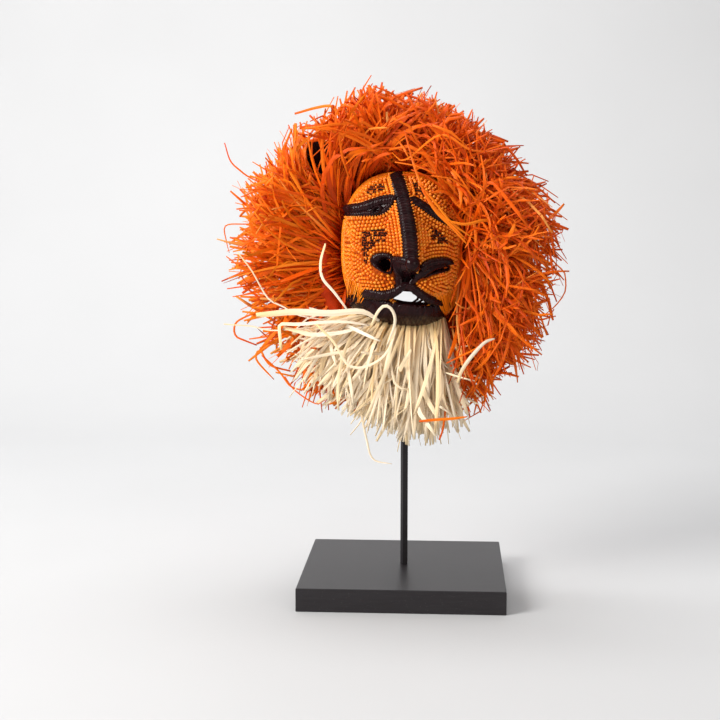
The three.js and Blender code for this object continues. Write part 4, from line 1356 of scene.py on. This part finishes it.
def strays(kind, material, slot):
    lines, width, tint = zip(*STRAYS[kind])
    paths = np.array([evenly(curve_through(line), 21)[0] for line in lines])
    count = len(paths)
    facing = facing_of([0.0, -1.0, 0.35], 0.3, count, np.random.default_rng(83))
    mesh = strands(paths, facing, np.array(width), np.full(count, 0.4), np.array(tint), 0.35)
    finished(f"{kind}_strays", mesh, material, slot)


strays("orange", orange_raffia, "orange_raffia")
strays("natural", natural_raffia, "natural_raffia")


# The ears: cupped woven leaves with a wrapped orange edge

BACK = np.array([0, 1, 0])
EAR_LENGTH, EAR_WIDTH, EAR_LEAN = 74.0, 38.0, math.radians(42)


def ear_place(side):
    """A function that gives points of an ear, at x across, t along and a lift to its back."""
    angle = math.pi - EAR_LEAN * 1.15 if side < 0 else EAR_LEAN * 1.15
    radius = outline_radius(angle, 5.8)
    foot = np.array([radius * math.cos(angle), 12.0, radius * math.sin(angle)]) + FACE_CENTRE
    up = unit(np.array([side * math.sin(EAR_LEAN), 0.1, math.cos(EAR_LEAN)]))
    across = np.array([math.cos(EAR_LEAN), 0, -side * math.sin(EAR_LEAN)])

    def spot(x, t, lift):
        half = (EAR_WIDTH / 2) * (0.35 + 0.65 * np.sin(math.pi * np.minimum(t * 0.92 + 0.1, 1)) ** 0.7)
        half = half * np.sqrt(np.clip((1.02 - t) / 0.22, 0, 1))
        cup = 0.32 * EAR_WIDTH * (1 - x * x) * np.sin(math.pi * np.minimum(t + 0.1, 1)) - 0.08 * EAR_WIDTH
        return (foot + up * (t * EAR_LENGTH * 0.98)[..., None] + across * (x * half)[..., None]
                + BACK * (cup + lift)[..., None])

    return spot


def ear_leaf(side):
    spot = ear_place(side)

    def place(a, t):
        front = a < 0.5
        x = np.where(front, 4 * a - 1, 3 - 4 * a)
        weave_relief = 0.45 * np.sin(x * 18) * np.sin(t * 60)
        lift = np.where(front, -1.3, 1.3) + weave_relief
        return spot(x * 0.98, t * 0.985, lift), 0.4 + 0.3 * np.sin(37 * t + 5 * x)

    return shaped_grid(48, 60, place, closed=True, marks=("tint",))


def ear_edge(side):
    spot = ear_place(side)

    def place(a, t):
        turn = 2 * math.pi * a
        x = np.clip(np.interp(t, [0, 0.42, 0.5, 0.58, 1], [-1, -1, 0, 1, 1]), -1, 1)
        up = np.interp(t, [0, 0.42, 0.5, 0.58, 1], [0.05, 0.93, 0.995, 0.93, 0.05])
        middle = spot(x, up, np.zeros_like(t))
        swell = 1.9 + 0.35 * np.abs(np.sin(math.pi * t * 62)) ** 0.6
        outward = unit(middle - spot(x * 0.9, up - 0.02, np.zeros_like(t)))
        section = outward * (np.cos(turn) * swell)[..., None] + BACK * (np.sin(turn) * swell)[..., None]
        return middle + section, np.full(len(t), 0.45)

    return shaped_grid(8, 372, place, closed=True, marks=("tint",))


for name, side in (("ear_left", -1), ("ear_right", 1)):
    finished(f"{name}_leaf", to_mesh(ear_leaf(side)), dark_weave, "dark_weave", name)
    finished(f"{name}_edge", to_mesh(ear_edge(side)), orange_weave, "orange_weave")

# The floor, the light and the camera


def backdrop():
    """A pale floor that curves up to a wall far behind."""
    length, width, level_part, curve_part, curve_radius, front = 7.0, 9.0, 4.2, 1.4, 0.9, 3.2

    def place(a, t):
        run = t * length
        bend = np.clip((run - level_part) / curve_part, 0, 1) * math.pi / 2
        is_level = run < level_part
        depth = np.where(is_level, run - front, level_part - front + curve_radius * np.sin(bend))
        wall = np.maximum(run - level_part - curve_part, 0) * 2
        height = np.where(is_level, 0, curve_radius * (1 - np.cos(bend)) + wall)
        return np.stack([(a - 0.5) * width, depth, height], -1) / MM,

    mesh = to_mesh(shaped_grid(4, 100, place))
    material, shader = plain("pale_floor", 0.75, 0.2)
    grain = noise_of(material, object_place(material), 3.0, 2.0)
    colour = ramp_of(material, grain, [(0.2, (0.53, 0.533, 0.54)), (0.8, (0.55, 0.553, 0.56))])
    finish_with(material, shader, colour)
    mesh.materials.append(material)
    mesh.polygons.foreach_set("use_smooth", [True] * len(mesh.polygons))
    floor = bpy.data.objects.new("backdrop", mesh)
    scene.collection.objects.link(floor)


backdrop()


def soft_light(name, place, target, size, power, colour):
    """A rectangular light at a place in metres that looks at a target."""
    light = bpy.data.lights.new(name, "AREA")
    light.shape, light.size, light.size_y = "RECTANGLE", size[0], size[1]
    light.energy, light.color = power, colour
    holder = bpy.data.objects.new(name, light)
    holder.location = place
    holder.rotation_euler = (Vector(target) - Vector(place)).to_track_quat("-Z", "Y").to_euler()
    scene.collection.objects.link(holder)


soft_light("key", (-1.9, -1.5, 1.5), (0, 0, 0.36), (1.2, 1.2), 88, (1.0, 0.985, 0.96))
soft_light("overhead", (0.1, 0.35, 2.4), (0, 0.1, 0.2), (1.8, 1.8), 28, WHITE)
soft_light("wall_light", (-0.9, 0.7, 2.5), (-0.7, 2.3, 0.7), (2.4, 0.8), 34, WHITE)
soft_light("fill", (1.6, -2.0, 0.7), (0, 0, 0.33), (1.6, 1.2), 13, (1.0, 0.90, 0.80))

# The room's soft light, and a pale room where a side view looks past the wall
ROOM_LIGHT, ROOM_SEEN = 0.3, 0.82
world = bpy.data.worlds.new("studio")
scene.world = world
world.use_nodes = True
background = world.node_tree.nodes["Background"]
background.inputs["Color"].default_value = (1, 1, 1, 1)
ray = world.node_tree.nodes.new("ShaderNodeLightPath")
strength = world.node_tree.nodes.new("ShaderNodeMapRange")
strength.inputs["To Min"].default_value = ROOM_LIGHT
strength.inputs["To Max"].default_value = ROOM_SEEN
world.node_tree.links.new(ray.outputs["Is Camera Ray"], strength.inputs["Value"])
world.node_tree.links.new(strength.outputs["Result"], background.inputs["Strength"])

camera = bpy.data.cameras.new("camera")
camera.lens, camera.sensor_width = 70.0, 36.0
camera.clip_start, camera.clip_end = 0.05, 50
viewer = bpy.data.objects.new("camera", camera)
viewer.location = (0.0467, -1.5312, 0.4240)
DOWN, TURNED = math.radians(6.3355), math.radians(3.5834)
viewer.rotation_euler = (math.pi / 2 - DOWN, 0, TURNED)
scene.collection.objects.link(viewer)
scene.camera = viewer

scene.view_settings.view_transform = "Standard"
